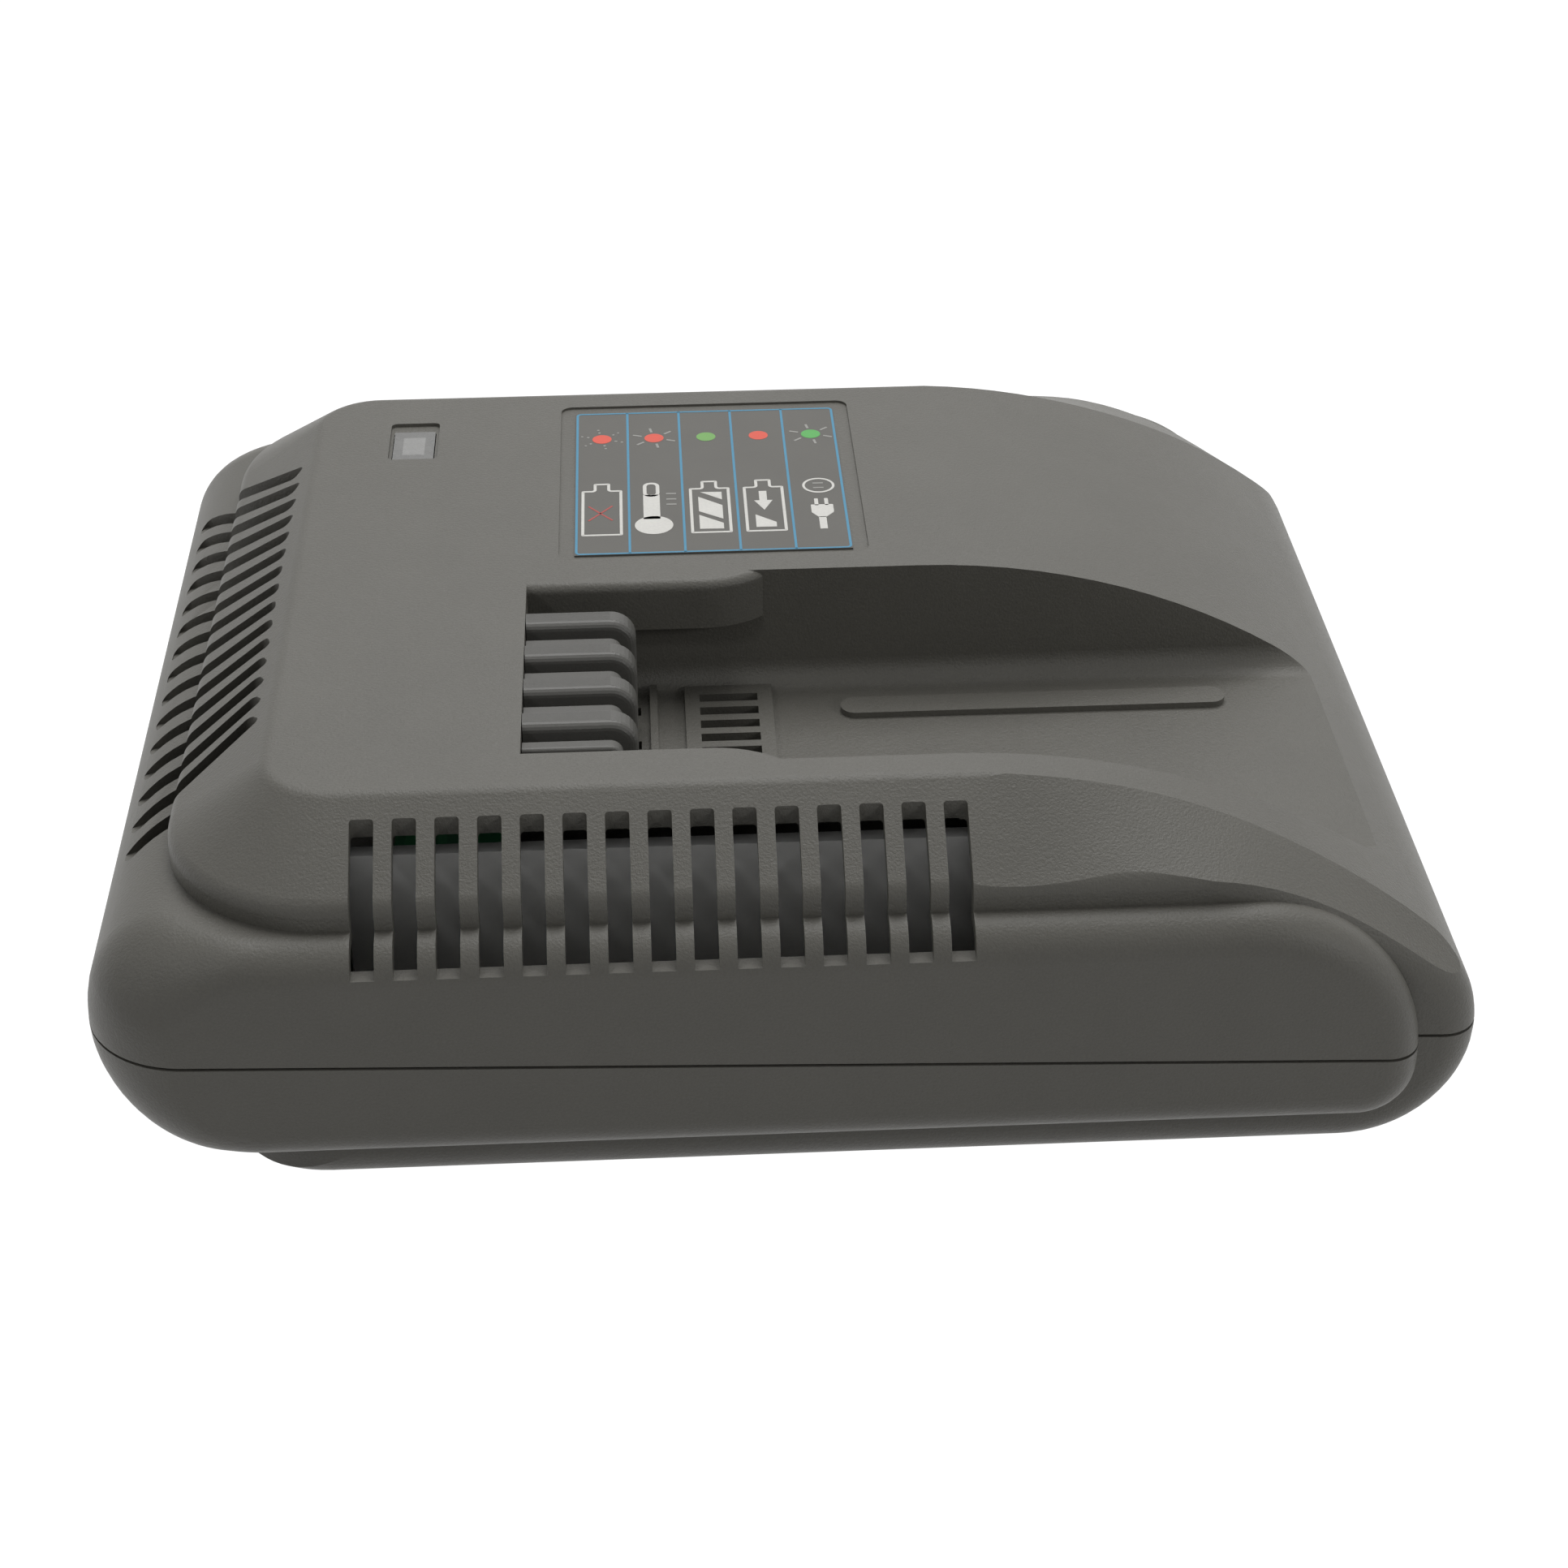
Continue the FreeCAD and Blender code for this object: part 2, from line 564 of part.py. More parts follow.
def label_recess():
    margin, depth = size("label_margin"), size("label_depth")
    return rounded_block(
        (size("label_left") - margin, size("label_front") - margin / 2, size("body_top") - depth),
        (size("label_length") + 2 * margin, size("label_width") + 1.5 * margin, 1),
        size("label_corner"), upright)


def lens_recess():
    margin = size("lens_margin")
    return rounded_block(
        (size("lens_left") - margin, size("lens_front") - margin / 2, size("body_top") - size("lens_recess")),
        (size("lens_length") + 2 * margin, size("lens_width") + margin / 2 + size("lens_shelf"), 1),
        size("lens_corner"), upright)


def lens_hole():
    fit = size("lens_fit")
    deep = 2 * size("wall")
    return rounded_block(
        (size("lens_left") - fit, size("lens_front") - fit, size("body_top") - deep),
        (size("lens_length") + 2 * fit, size("lens_width") + 2 * fit, deep + 1),
        size("lens_corner"), upright)


def inlet_hole():
    fit, wide, tall = size("fit") / 2, size("inlet_length"), size("inlet_tall")
    deep = 2 * size("wall")
    corner = vector(
        size("inlet_x") - wide / 2 - fit, size("band_half") - deep, size("inlet_z") - tall / 2 - fit)
    return Part.makeBox(wide + 2 * fit, 2 * deep, tall + 2 * fit, corner)


def inlet_flange_space():
    """Room for the flange of the inlet behind the back wall."""
    fit, flange, thick = size("fit"), size("inlet_flange"), size("inlet_flange_thick")
    wide, tall = size("inlet_length") + 2 * flange, size("inlet_tall") + 2 * flange
    inside = size("band_half") - size("wall")
    return Part.makeBox(
        wide + 2 * fit, thick + fit, tall + 2 * fit,
        vector(size("inlet_x") - wide / 2 - fit, inside - thick - fit, size("inlet_z") - tall / 2 - fit))


def fan_pilot_holes():
    underside, offset = size("channel_floor") - size("wall"), size("fan_screw_offset")
    radius, bite = size("fan_screw_shank") + size("fit") / 2, size("fan_screw_bite")
    return [
        post(size("fan_centre") + i * offset, size("channel_middle") + j * offset,
             underside - 1, underside + bite, radius)
        for i in (-1, 1) for j in (-1, 1)
    ]


def board_post_places():
    inset, half = size("post_inset"), size("board_half")
    for x in (size("board_left") + inset, size("post_middle"), size("board_right") - inset):
        for side in (-1, 1):
            yield x, side * (half - inset)


def lower_housing():
    outer, hollow = case_form(0), case_form(size("wall"))
    gap = size("seam_gap") / 2
    solid = outer.cut(hollow).common(seam_slab(-4 * size("body_top"), -gap))
    lip_inside = case_form(size("wall") + size("lip_clearance") + size("lip_wall"))
    root = hollow.cut(lip_inside).common(seam_slab(-size("lip_root"), -gap))
    lip_outside = case_form(size("wall") + size("lip_clearance"))
    lip = lip_outside.cut(lip_inside).common(seam_slab(-2 * gap, size("lip_rise")))
    solid = solid.fuse([root, lip])
    floor = size("base_gap") + size("wall") / 2
    additions = []
    for x, y in boss_places():
        additions.append(outer.common(post(x, y, 0, size("boss_meet"), size("boss_radius"))))
    for x, y in board_post_places():
        additions.append(post(x, y, floor, size("board_seat"), size("post_radius")))
    solid = solid.fuse(additions)
    fit, removals = size("fit"), []
    for x, y in boss_places():
        removals.append(post(x, y, -1, size("head_seat"), size("head_radius") + fit))
        removals.append(post(x, y, -1, size("body_top"), size("shank_radius") + fit / 2))
    for x, y in board_post_places():
        low = size("board_seat") - size("board_screw_reach") + size("board_sheet")
        removals.append(post(x, y, low, size("board_seat") + 1, size("board_screw_shank") + fit / 2))
    for x, y in foot_places():
        removals.append(post(x, y, -1, size("foot_height"), size("foot_radius") + fit))
    removals += [inlet_hole(), inlet_flange_space()]
    return solid.cut(removals)


def foot_places():
    for x in (size("foot_left"), size("foot_right")):
        for side in (-1, 1):
            yield x, side * size("foot_half")


def make_case():
    node(shaped("UpperHousing", upper_housing()), "upper_housing")
    node(shaped("LowerHousing", lower_housing()), "lower_housing")
    feet = [
        rod("Foot" + name, (x, side + "foot_half", "0"), "foot_radius", "foot_height")
        for name, x, side in (("LeftFront", "foot_left", "-"), ("LeftBack", "foot_left", ""),
                              ("RightFront", "foot_right", "-"), ("RightBack", "foot_right", ""))
    ]
    node(group("Feet", feet), "rubber_feet")


def screw(name, x, y, seat, head, shank):
    """A screw with its head below the seat when the shank points up, else above it."""
    head_radius, head_height = head
    shank_radius, reach = shank
    up = not reach.startswith("-")
    head_foot = seat + " - " + head_height if up else seat
    shank_foot = seat if up else seat + " - (" + reach[1:] + ")"
    shank_height = reach if up else reach[1:]
    return join(name, [
        rod(name + "Head", (x, y, head_foot), head_radius, head_height),
        rod(name + "Shank", (x, y, shank_foot), shank_radius, shank_height),
    ])


def make_screws():
    case = [
        screw("CaseScrew" + str(number), x, y, "head_seat",
              ("head_radius", "head_height"), ("shank_radius", "screw_reach - head_seat"))
        for number, (x, y) in enumerate((
            ("boss_left", "-boss_left_half"), ("boss_left", "boss_left_half"),
            ("boss_right", "-boss_right_half"), ("boss_right", "boss_right_half")), start=1)
    ]
    node(group("CaseScrews", case), "case_screws")
    board = []
    for x in ("board_left + post_inset", "post_middle", "board_right - post_inset"):
        for side in ("-", ""):
            board.append(screw(
                "BoardScrew" + str(len(board) + 1), x, side + "(board_half - post_inset)",
                "board_seat + board_sheet", ("board_screw_head", "board_screw_head_height"),
                ("board_screw_shank", "-board_screw_reach")))
    node(group("BoardScrews", board), "board_screws")
    fan = []
    for i in ("-", "+"):
        for j in ("-", "+"):
            fan.append(screw(
                "FanScrew" + str(len(fan) + 1), "fan_centre " + i + " fan_screw_offset",
                "channel_middle " + j + " fan_screw_offset", "channel_floor - wall - fan_height",
                ("fan_screw_head", "fan_screw_head_height"),
                ("fan_screw_shank", "fan_height + fan_screw_bite - fit")))
    node(group("FanScrews", fan), "fan_screws")


def make_label_and_lens():
    sheet_part = box("LabelSheet", ("label_left", "label_front", "body_top - label_depth"),
                     ("label_length", "label_width", "label_sheet"))
    node(sheet_part, "status_label")
    top = "body_top - lens_recess + lens_fit"
    roof = "body_top - wall"
    window = box("LensWindow", ("lens_left", "lens_front", roof),
                 ("lens_length", "lens_width", top + " - (" + roof + ")"))
    flange = box(
        "LensFlange",
        ("lens_left - lens_flange", "lens_front - lens_flange", roof + " - lens_flange_height"),
        ("lens_length + 2 * lens_flange", "lens_width + 2 * lens_flange", "lens_flange_height"))
    stem = box("LensStem", ("lens_left", "lens_front", roof + " - lens_stem"),
               ("lens_length", "lens_width", "lens_stem"))
    node(join("Lens", [window, flange, stem]), "light_pipe")


def make_lamp_board():
    top = "body_top - wall - lens_stem - lamp_height"
    plate = box("LampPlate", ("lamp_board_left", "lamp_board_front", top + " - lamp_board_sheet"),
                ("lamp_board_length", "lamp_board_width", "lamp_board_sheet"))
    far = ("lamp_board_left + lamp_board_length - lamp_post_inset",
           "lamp_board_front + lamp_board_width - lamp_post_inset")
    near = ("lamp_board_left + lamp_post_inset", "lamp_board_front + lamp_post_inset")
    holes = [
        rod("LampHole" + str(number), (x, y, top + " - 2 * lamp_board_sheet"),
            "lamp_pin + fit / 2", "3 * lamp_board_sheet")
        for number, (x, y) in enumerate((near, far), start=1)
    ]
    node(cut("LampBoard", plate, group("LampHoles", holes)), "light_board")
    lamps = []
    for number, shift in enumerate(("-", "+"), start=1):
        lamps.append(box(
            "Lamp" + str(number),
            ("lens_left + lens_length / 2 - lamp_side / 2",
             "lens_front + lens_width / 2 - lamp_side / 2 " + shift + " lamp_pitch / 2", top),
            ("lamp_side", "lamp_side", "lamp_height")))
    node(group("Lamps", lamps), "status_lamps")


def make_board():
    plate = box("BoardPlate", ("board_left", "-board_half", "board_seat"),
                ("board_right - board_left", "2 * board_half", "board_sheet"))
    holes = []
    for x in ("board_left + post_inset", "post_middle", "board_right - post_inset"):
        for side in ("-", ""):
            holes.append(rod("BoardHole" + str(len(holes) + 1),
                             (x, side + "(board_half - post_inset)", "board_seat - 1"),
                             "board_screw_shank + fit / 2", "board_sheet + 2"))
    node(cut("Board", plate, group("BoardHoles", holes)), "main_board")


def make_terminals():
    """The fins over the terminals, the block under them and the blades in both."""
    middle, left, floor = size("channel_middle"), size("cavity_left"), size("channel_floor")
    fit, plate, width = size("insert_fit"), size("insert_plate"), size("fin_width")
    top, low = size("body_top"), floor + size("channel_fillet") + fit
    rail, length = size("rail_half") - fit, size("fin_length")
    plate_high = size("rail_underside") - low
    pieces = [Part.makeBox(plate, 2 * rail, plate_high, vector(left + fit, middle - rail, low))]
    count = int(size("fin_count"))
    for number in range(count):
        y = middle + (number - (count - 1) / 2) * size("fin_pitch") - width / 2
        pieces.append(rounded_block(
            (left + fit, y, floor), (length - fit, width, top - floor), size("fin_rounding"),
            lambda edge: edge.BoundBox.YLength > width - 1e-3 and edge.CenterOfMass.x > left + length - 1
            and edge.CenterOfMass.z > top - 1))
    slot = size("blade_slot")
    for y in blade_rows():
        key = rounded_block(
            (left + fit, y - size("key_width") / 2, floor),
            (size("key_length"), size("key_width"), size("key_rise")), size("key_width") / 2.2,
            lambda edge: upright(edge) and edge.CenterOfMass.x > left + 2 * plate)
        gap = Part.makeBox(
            size("blade_length") + 2 * slot, size("blade_sheet") + 2 * slot, 2 * top,
            vector(size("blade_left") - slot, y - size("blade_sheet") / 2 - slot, 0))
        pieces.append(key.cut(gap))
    guide = pieces[0].fuse(pieces[1:])
    node(shaped("TerminalGuide", guide), "terminal_guide")
    under, base = floor - size("wall"), size("board_seat") + size("board_sheet")
    block = Part.makeBox(
        size("block_length"), 2 * size("block_half"), under - base,
        vector(size("block_left"), middle - size("block_half"), base))
    blades = []
    for y in blade_rows():
        corner = vector(size("blade_left"), y - size("blade_sheet") / 2, base)
        blades.append(Part.makeBox(
            size("blade_length"), size("blade_sheet"), size("blade_top") - base, corner))
    node(shaped("TerminalBlock", block.cut(blades)), "terminal_block")
    node(shaped("TerminalBlades", Part.makeCompound(blades)), "terminal_blades")


def make_fan():
    """A flat axial fan under the grille of the channel floor."""
    x, y, side, high = size("fan_centre"), size("channel_middle"), size("fan_side"), size("fan_height")
    top = size("channel_floor") - size("wall")
    base, hub = top - high, size("hub_radius")
    frame = rounded_block(
        (x - side / 2, y - side / 2, base), (side, side, high), size("fan_corner"), upright)
    frame = frame.cut(post(x, y, base - 1, top + 1, size("fan_bore")))
    spider = [post(x, y, base, base + size("spider_plate"), hub)]
    arm, reach = size("spider_arm"), size("fan_bore") + 1
    for turn in range(4):
        bar = Part.makeBox(reach, arm, size("spider_plate"), vector(0, -arm / 2, 0))
        bar.rotate(vector(0, 0, 0), vector(0, 0, 1), 45 + 90 * turn)
        bar.translate(vector(x, y, base))
        spider.append(bar)
    rotor_base = base + size("spider_plate") + size("rotor_gap")
    rotor_top = rotor_base + size("rotor_height")
    bearing_top = rotor_top - 2 * size("hub_wall")
    spider.append(post(x, y, base, bearing_top, size("bearing_radius")))
    frame = frame.fuse(spider)
    frame = frame.cut(post(x, y, rotor_base, top, size("axle_radius") + size("fit")))
    offset = size("fan_screw_offset")
    holes = [
        post(x + i * offset, y + j * offset, base - 1, top + 1, size("fan_screw_shank") + size("fit") / 2)
        for i in (-1, 1) for j in (-1, 1)
    ]
    node(shaped("FanFrame", frame.cut(holes)), "fan_frame")
    wall = size("hub_wall")
    cup = post(x, y, rotor_base, rotor_top, hub)
    cup = cup.cut(post(x, y, rotor_base - 1, rotor_top - wall, hub - wall))
    pieces = [post(x, y, rotor_base + size("rotor_gap"), rotor_top, size("axle_radius"))]
    count = int(size("blade_count"))
    sheet_thick, tip = size("fan_blade_sheet"), size("fan_blade_tip")
    height = size("rotor_height")
    limits = post(x, y, rotor_base + 1, rotor_top - 1, tip)
    limits = limits.cut(post(x, y, rotor_base, rotor_top, hub - wall / 2))
    for number in range(count):
        blade = Part.makeBox(tip + 1, sheet_thick, 2 * height, vector(0, -sheet_thick / 2, -height))
        blade.rotate(vector(0, 0, 0), vector(1, 0, 0), size("fan_blade_pitch"))
        blade.rotate(vector(0, 0, 0), vector(0, 0, 1), 360 * number / count)
        blade.translate(vector(x, y, (rotor_base + rotor_top) / 2))
        pieces.append(blade.common(limits))
    node(shaped("FanRotor", cup.fuse(pieces)), "fan_rotor")


def make_heat_sinks():
    """A plain plate behind the front vents and a finned one at the back, with their devices."""
    base = size("board_seat") + size("board_sheet")
    plate, face = size("sink_plate"), size("front_sink_face")
    front = box("FrontSink", ("front_sink_left", "front_sink_face", "board_seat + board_sheet"),
                ("front_sink_right - front_sink_left", "sink_plate",
                 "front_sink_top - board_seat - board_sheet"))
    node(front, "front_heat_sink")
    left, right = size("rear_sink_left"), size("rear_sink_right")
    rear_face, rear_top = size("rear_sink_face"), size("rear_sink_top")
    pieces = []
    count, fin = int(size("sink_fin_count")), size("sink_fin_sheet")
    for number in range(count):
        x = left + (right - left - fin) * number / (count - 1)
        pieces.append(Part.makeBox(
            fin, plate / 2 + size("sink_fin_depth"), rear_top - base, vector(x, rear_face + plate / 2, base)))
    rear = Part.makeBox(right - left, plate, rear_top - base, vector(left, rear_face, base)).fuse(pieces)
    node(shaped("RearSink", rear.removeSplitter()), "rear_heat_sink")
    front_row = device_row("FrontDevice", "front_device_first", "front_sink_face + sink_plate", 3)
    node(group("FrontDevices", front_row), "output_rectifiers")
    rear_row = device_row("RearDevice", "rear_device_first", "rear_sink_face - device_thick", 2)
    node(group("RearDevices", rear_row), "power_transistors")


def device_row(name, first, back, count):
    """Flat power devices standing on their leads against a heat sink."""
    row = []
    for number in range(count):
        x = first + " + device_pitch * " + str(number)
        body = box(name + "Body" + str(number), (x, back, "board_seat + board_sheet + device_lift"),
                   ("device_width", "device_thick", "device_height"))
        legs = [
            box(name + "Leg" + str(number) + str(leg),
                (x + " + device_width / 4 * " + str(leg) + " - device_lead / 2",
                 back + " + device_thick / 2 - device_lead / 2", "board_seat + board_sheet"),
                ("device_lead", "device_lead", "device_lift"))
            for leg in (1, 2, 3)
        ]
        row.append(join(name + str(number), [body] + legs))
    return row


def make_transformer():
    """Ferrite core, its bobbin and the winding, which stand on the board."""
    x, y = size("core_x"), size("core_y")
    base = size("board_seat") + size("board_sheet")
    low = base + size("bobbin_base")
    length, depth, high = size("core_length"), size("core_depth"), size("core_height")
    leg, centre, yoke, fit = size("core_leg"), size("core_centre_leg"), size("core_yoke"), size("fit")

    def upright_block(half_x, half_y, bottom, top):
        return Part.makeBox(2 * half_x, 2 * half_y, top - bottom, vector(x - half_x, y - half_y, bottom))

    core = upright_block(length / 2, depth / 2, low, low + high)
    window = (length - centre) / 2 - leg
    for side in (-1, 1):
        middle = x + side * (centre + window) / 2
        core = core.cut(Part.makeBox(
            window, depth, high - 2 * yoke, vector(middle - window / 2, y - depth / 2, low + yoke)))
    node(shaped("Core", core), "transformer_core")
    wall, flange, reach = size("bobbin_wall"), size("bobbin_flange"), size("bobbin_reach")
    inside_x, inside_y = centre / 2 + fit, depth / 2 + fit
    bottom, top = low + yoke + fit, low + high - yoke - fit
    tube = upright_block(inside_x + wall, inside_y + wall, bottom, top)
    wide = centre / 2 + window - fit
    for level in (bottom, top - flange):
        tube = tube.fuse(upright_block(wide, inside_y + wall + reach, level, level + flange))
    tube = tube.cut(upright_block(inside_x, inside_y, bottom - 1, top + 1))
    foot = upright_block(wide, inside_y + wall + reach, base, low)
    legs = [
        Part.makeBox(2 * wide, wall * 2, bottom - base,
                     vector(x - wide, y + side * (inside_y + wall + reach / 2) - wall, base))
        for side in (-1, 1)
    ]
    node(shaped("Bobbin", tube.fuse([foot] + legs)), "transformer_bobbin")
    margin = size("winding_margin")
    winding = upright_block(wide - margin, inside_y + wall + reach - margin, bottom + flange, top - flange)
    winding = winding.makeFillet(wall, [edge for edge in winding.Edges if upright(edge)])
    winding = winding.cut(upright_block(inside_x + wall, inside_y + wall, bottom, top))
    node(shaped("Winding", winding), "transformer_winding")


def make_board_parts():
    base = "board_seat + board_sheet"
    bulk = [
        rod("Bulk" + str(number), ("bulk_x", "bulk_first + bulk_pitch * " + str(number), base),
            "bulk_radius", "bulk_height")
        for number in range(2)
    ]
    node(group("BulkCapacitors", bulk), "bulk_capacitors")
    smooth = [
        rod("Smooth" + str(number), ("smooth_x", "smooth_first + smooth_pitch * " + str(number), base),
            "smooth_radius", "smooth_height")
        for number in range(int(size("smooth_count")))
    ]
    node(group("OutputCapacitors", smooth), "output_capacitors")
    choke = document.addObject("Part::Torus", "Choke")
    bind(choke, "Radius1", "choke_ring")
    bind(choke, "Radius2", "choke_wire")
    place(choke, ("choke_x", "choke_y", base + " + choke_wire"))
    node(choke, "filter_choke")
    film = box("Film", ("film_x", "film_y", base), ("film_length", "film_depth", "film_height"))
    node(film, "film_capacitor")
    fuse = lying_rod("FuseTube", ("fuse_x", "fuse_y", base + " + fuse_lift"),
                     "fuse_radius", "fuse_length", (1, 0, 0))
    node(fuse, "fuse")
    clips = []
    for number, shift in enumerate(("", " + fuse_length - clip_length")):
        holder = box("Clip" + str(number), ("fuse_x" + shift, "fuse_y - clip_width / 2", base),
                     ("clip_length", "clip_width", "fuse_lift"))
        seat = lying_rod("ClipSeat" + str(number),
                         ("fuse_x" + shift + " - 1", "fuse_y", base + " + fuse_lift"),
                         "fuse_radius + fit / 10", "clip_length + 2", (1, 0, 0))
        clips.append(cut("FuseClip" + str(number), holder, seat))
    node(group("FuseClips", clips), "fuse_clips")
    chips = [
        box("Chip" + str(number), ("chip_x", "chip_y + chip_pitch * " + str(number), base),
            ("chip_length", "chip_width", "chip_height"))
        for number in range(2)
    ]
    node(group("Chips", chips), "control_chips")


def make_inlet():
    """Two-pin mains inlet in the back wall, with the contact pins that run through it."""
    x, z, outer = size("inlet_x"), size("inlet_z"), size("band_half")
    wide, tall, deep = size("inlet_length"), size("inlet_tall"), size("inlet_deep")
    front = outer - size("fit")
    body = Part.makeBox(wide, deep, tall, vector(x - wide / 2, front - deep, z - tall / 2))
    flange, thick = size("inlet_flange"), size("inlet_flange_thick")
    plate = Part.makeBox(
        wide + 2 * flange, thick, tall + 2 * flange,
        vector(x - wide / 2 - flange, outer - size("wall") - thick, z - tall / 2 - flange))
    length, high, depth = size("socket_length"), size("socket_tall"), size("socket_deep")
    socket = rounded_block(
        (x - length / 2, front - depth, z - high / 2), (length, depth + 1, high), high / 2.05,
        lambda edge: edge.BoundBox.YLength > depth)
    pins = []
    for side in (-1, 1):
        foot = vector(x + side * size("pin_pitch") / 2, front - deep - size("tab_length"), z)
        reach = size("tab_length") + deep - depth + size("pin_length")
        pins.append(Part.makeCylinder(size("pin_radius"), reach, foot, vector(0, 1, 0)))
    node(shaped("Inlet", body.fuse(plate).cut([socket] + pins)), "mains_inlet")
    node(shaped("InletPins", Part.makeCompound(pins)), "inlet_pins")


def lead(points, radius):
    """A round lead along straight runs joined by arcs; prints each arc's radius."""
    edges, here = [], points[0]
    for before, corner, after in zip(points, points[1:], points[2:]):
        backward, forward = before - corner, after - corner
        turn = math.pi - backward.getAngle(forward)
        bend = 0.45 * min(backward.Length, forward.Length) / math.tan(turn / 2)
        reach = bend * math.tan(turn / 2)
        start = corner + backward.normalize() * reach
        end = corner + forward.normalize() * reach
        inward = (backward + forward).normalize()
        middle = corner + inward * (bend / math.cos(turn / 2) - bend)
        edges.append(Part.LineSegment(here, start).toShape())
        edges.append(Part.Arc(start, middle, end).toShape())
        here = end
        print("lead bend radius", round(bend, 2), "diameters", round(bend / radius / 2, 2))
    edges.append(Part.LineSegment(here, points[-1]).toShape())
    path = Part.Wire(edges)
    first = points[1] - points[0]
    ring = Part.Wire([Part.makeCircle(radius, points[0], first)])
    tube = path.makePipeShell([ring], True, False)
    expected = math.pi * radius ** 2 * path.Length
    print("lead volume", round(tube.Volume, 2), "section times length", round(expected, 2))
    return tube


def make_leads():
    """Headers on the board and the leads of the inlet, the fan and the light board."""
    base = size("board_seat") + size("board_sheet")
    top = base + size("header_height")
    side = size("header_side")
    run = size("inlet_lead_run")
    pin_end = size("band_half") - size("fit") - size("inlet_deep") - size("tab_length")
    inlet = [
        lead([vector(x, pin_end, size("inlet_z")), vector(x, pin_end - run, size("inlet_z")),
              vector(x, pin_end - run, top)], size("lead_radius"))
        for x in (size("inlet_x") - size("pin_pitch") / 2, size("inlet_x") + size("pin_pitch") / 2)
    ]
    node(shaped("InletLeads", Part.makeCompound(inlet)), "inlet_leads")
    thin = size("thin_lead_radius")
    fan_side = size("fan_centre") + size("fan_side") / 2
    fan_level = size("channel_floor") - size("wall") - size("fan_lead_lift")
    fan_x, fan_y = fan_side + size("fan_lead_run"), size("channel_middle")
    fan = lead([vector(fan_side, fan_y, fan_level), vector(fan_x, fan_y, fan_level),
                vector(fan_x, fan_y, top)], thin)
    node(shaped("FanLead", fan), "fan_lead")
    lamp_x = size("lens_left") + size("lens_length") / 2
    lamp_y = size("lens_front") + size("lens_width") / 2
    lamp_top = lamp_board_top() - size("lamp_board_sheet")
    shift, drop = size("lamp_lead_shift"), lamp_top - top
    lamp = lead([
        vector(lamp_x, lamp_y, lamp_top), vector(lamp_x, lamp_y, lamp_top - drop / 3),
        vector(lamp_x + shift, lamp_y, top + drop / 3), vector(lamp_x + shift, lamp_y, top)], thin)
    node(shaped("LampLead", lamp), "light_lead")
    inlet_header = vector(size("inlet_x") - side, pin_end - run - side / 2, base)
    headers = [
        Part.makeBox(2 * side, side, top - base, inlet_header),
        Part.makeBox(side, side, top - base, vector(fan_x - side / 2, fan_y - side / 2, base)),
        Part.makeBox(side, side, top - base, vector(lamp_x + shift - side / 2, lamp_y - side / 2, base)),
    ]
    node(shaped("Headers", Part.makeCompound(headers)), "board_headers")


make_case()
make_screws()
make_label_and_lens()
make_lamp_board()
make_board()
make_terminals()
make_fan()
make_heat_sinks()
make_transformer()
make_board_parts()
make_inlet()
make_leads()
document.recompute()

faulty = [item.Name for item in document.Objects if "Invalid" in item.State or "Error" in item.State]
for item in nodes:
    if item.Shape.isNull() or not item.Shape.isValid():
        faulty.append(item.Label)
if faulty:
    raise RuntimeError("These did not build: " + ", ".join(faulty))
os.makedirs("parts", exist_ok=True)
for item in nodes:
    item.Shape.exportStep("parts/" + item.Label + ".step")
    print(item.Label, "solids", len(item.Shape.Solids), "volume", round(item.Shape.Volume, 1))
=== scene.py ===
import math

import bmesh
import bpy
from mathutils import Matrix, Vector


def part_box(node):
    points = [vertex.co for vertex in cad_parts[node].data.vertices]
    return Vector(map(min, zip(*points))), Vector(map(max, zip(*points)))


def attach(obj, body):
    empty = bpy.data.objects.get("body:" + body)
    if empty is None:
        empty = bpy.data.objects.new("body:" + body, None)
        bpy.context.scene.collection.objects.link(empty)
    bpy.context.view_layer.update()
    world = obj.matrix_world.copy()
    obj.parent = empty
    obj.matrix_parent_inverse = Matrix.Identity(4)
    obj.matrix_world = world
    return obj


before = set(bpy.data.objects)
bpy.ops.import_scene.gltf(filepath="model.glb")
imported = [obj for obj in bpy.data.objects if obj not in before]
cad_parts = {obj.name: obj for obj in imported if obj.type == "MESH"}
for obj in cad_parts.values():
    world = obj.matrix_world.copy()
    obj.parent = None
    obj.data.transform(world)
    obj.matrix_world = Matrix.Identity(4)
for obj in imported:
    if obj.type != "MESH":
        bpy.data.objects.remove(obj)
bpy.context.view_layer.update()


# The case: two shells of dark warm-grey plastic with a fine spark-eroded grain, lapped
# along the seam and drawn together by four screws.

MM = 0.001


class Amount:
    """A number that changes over a surface; sums of amounts become Math nodes."""

    def __init__(self, finish, socket):
        self.finish = finish
        self.socket = socket

    def reckon(self, operation, first, second=0.0):
        return self.finish.node("ShaderNodeMath", {"operation": operation}, {0: first, 1: second})

    def __add__(self, other):
        return self.reckon("ADD", self, other)

    __radd__ = __add__

    def __sub__(self, other):
        return self.reckon("SUBTRACT", self, other)

    def __rsub__(self, other):
        return self.reckon("SUBTRACT", other, self)

    def __mul__(self, other):
        return self.reckon("MULTIPLY", self, other)

    __rmul__ = __mul__

    def __abs__(self):
        return self.reckon("ABSOLUTE", self)

    def __gt__(self, other):
        return self.reckon("GREATER_THAN", self, other)

    def __lt__(self, other):
        return self.reckon("LESS_THAN", self, other)


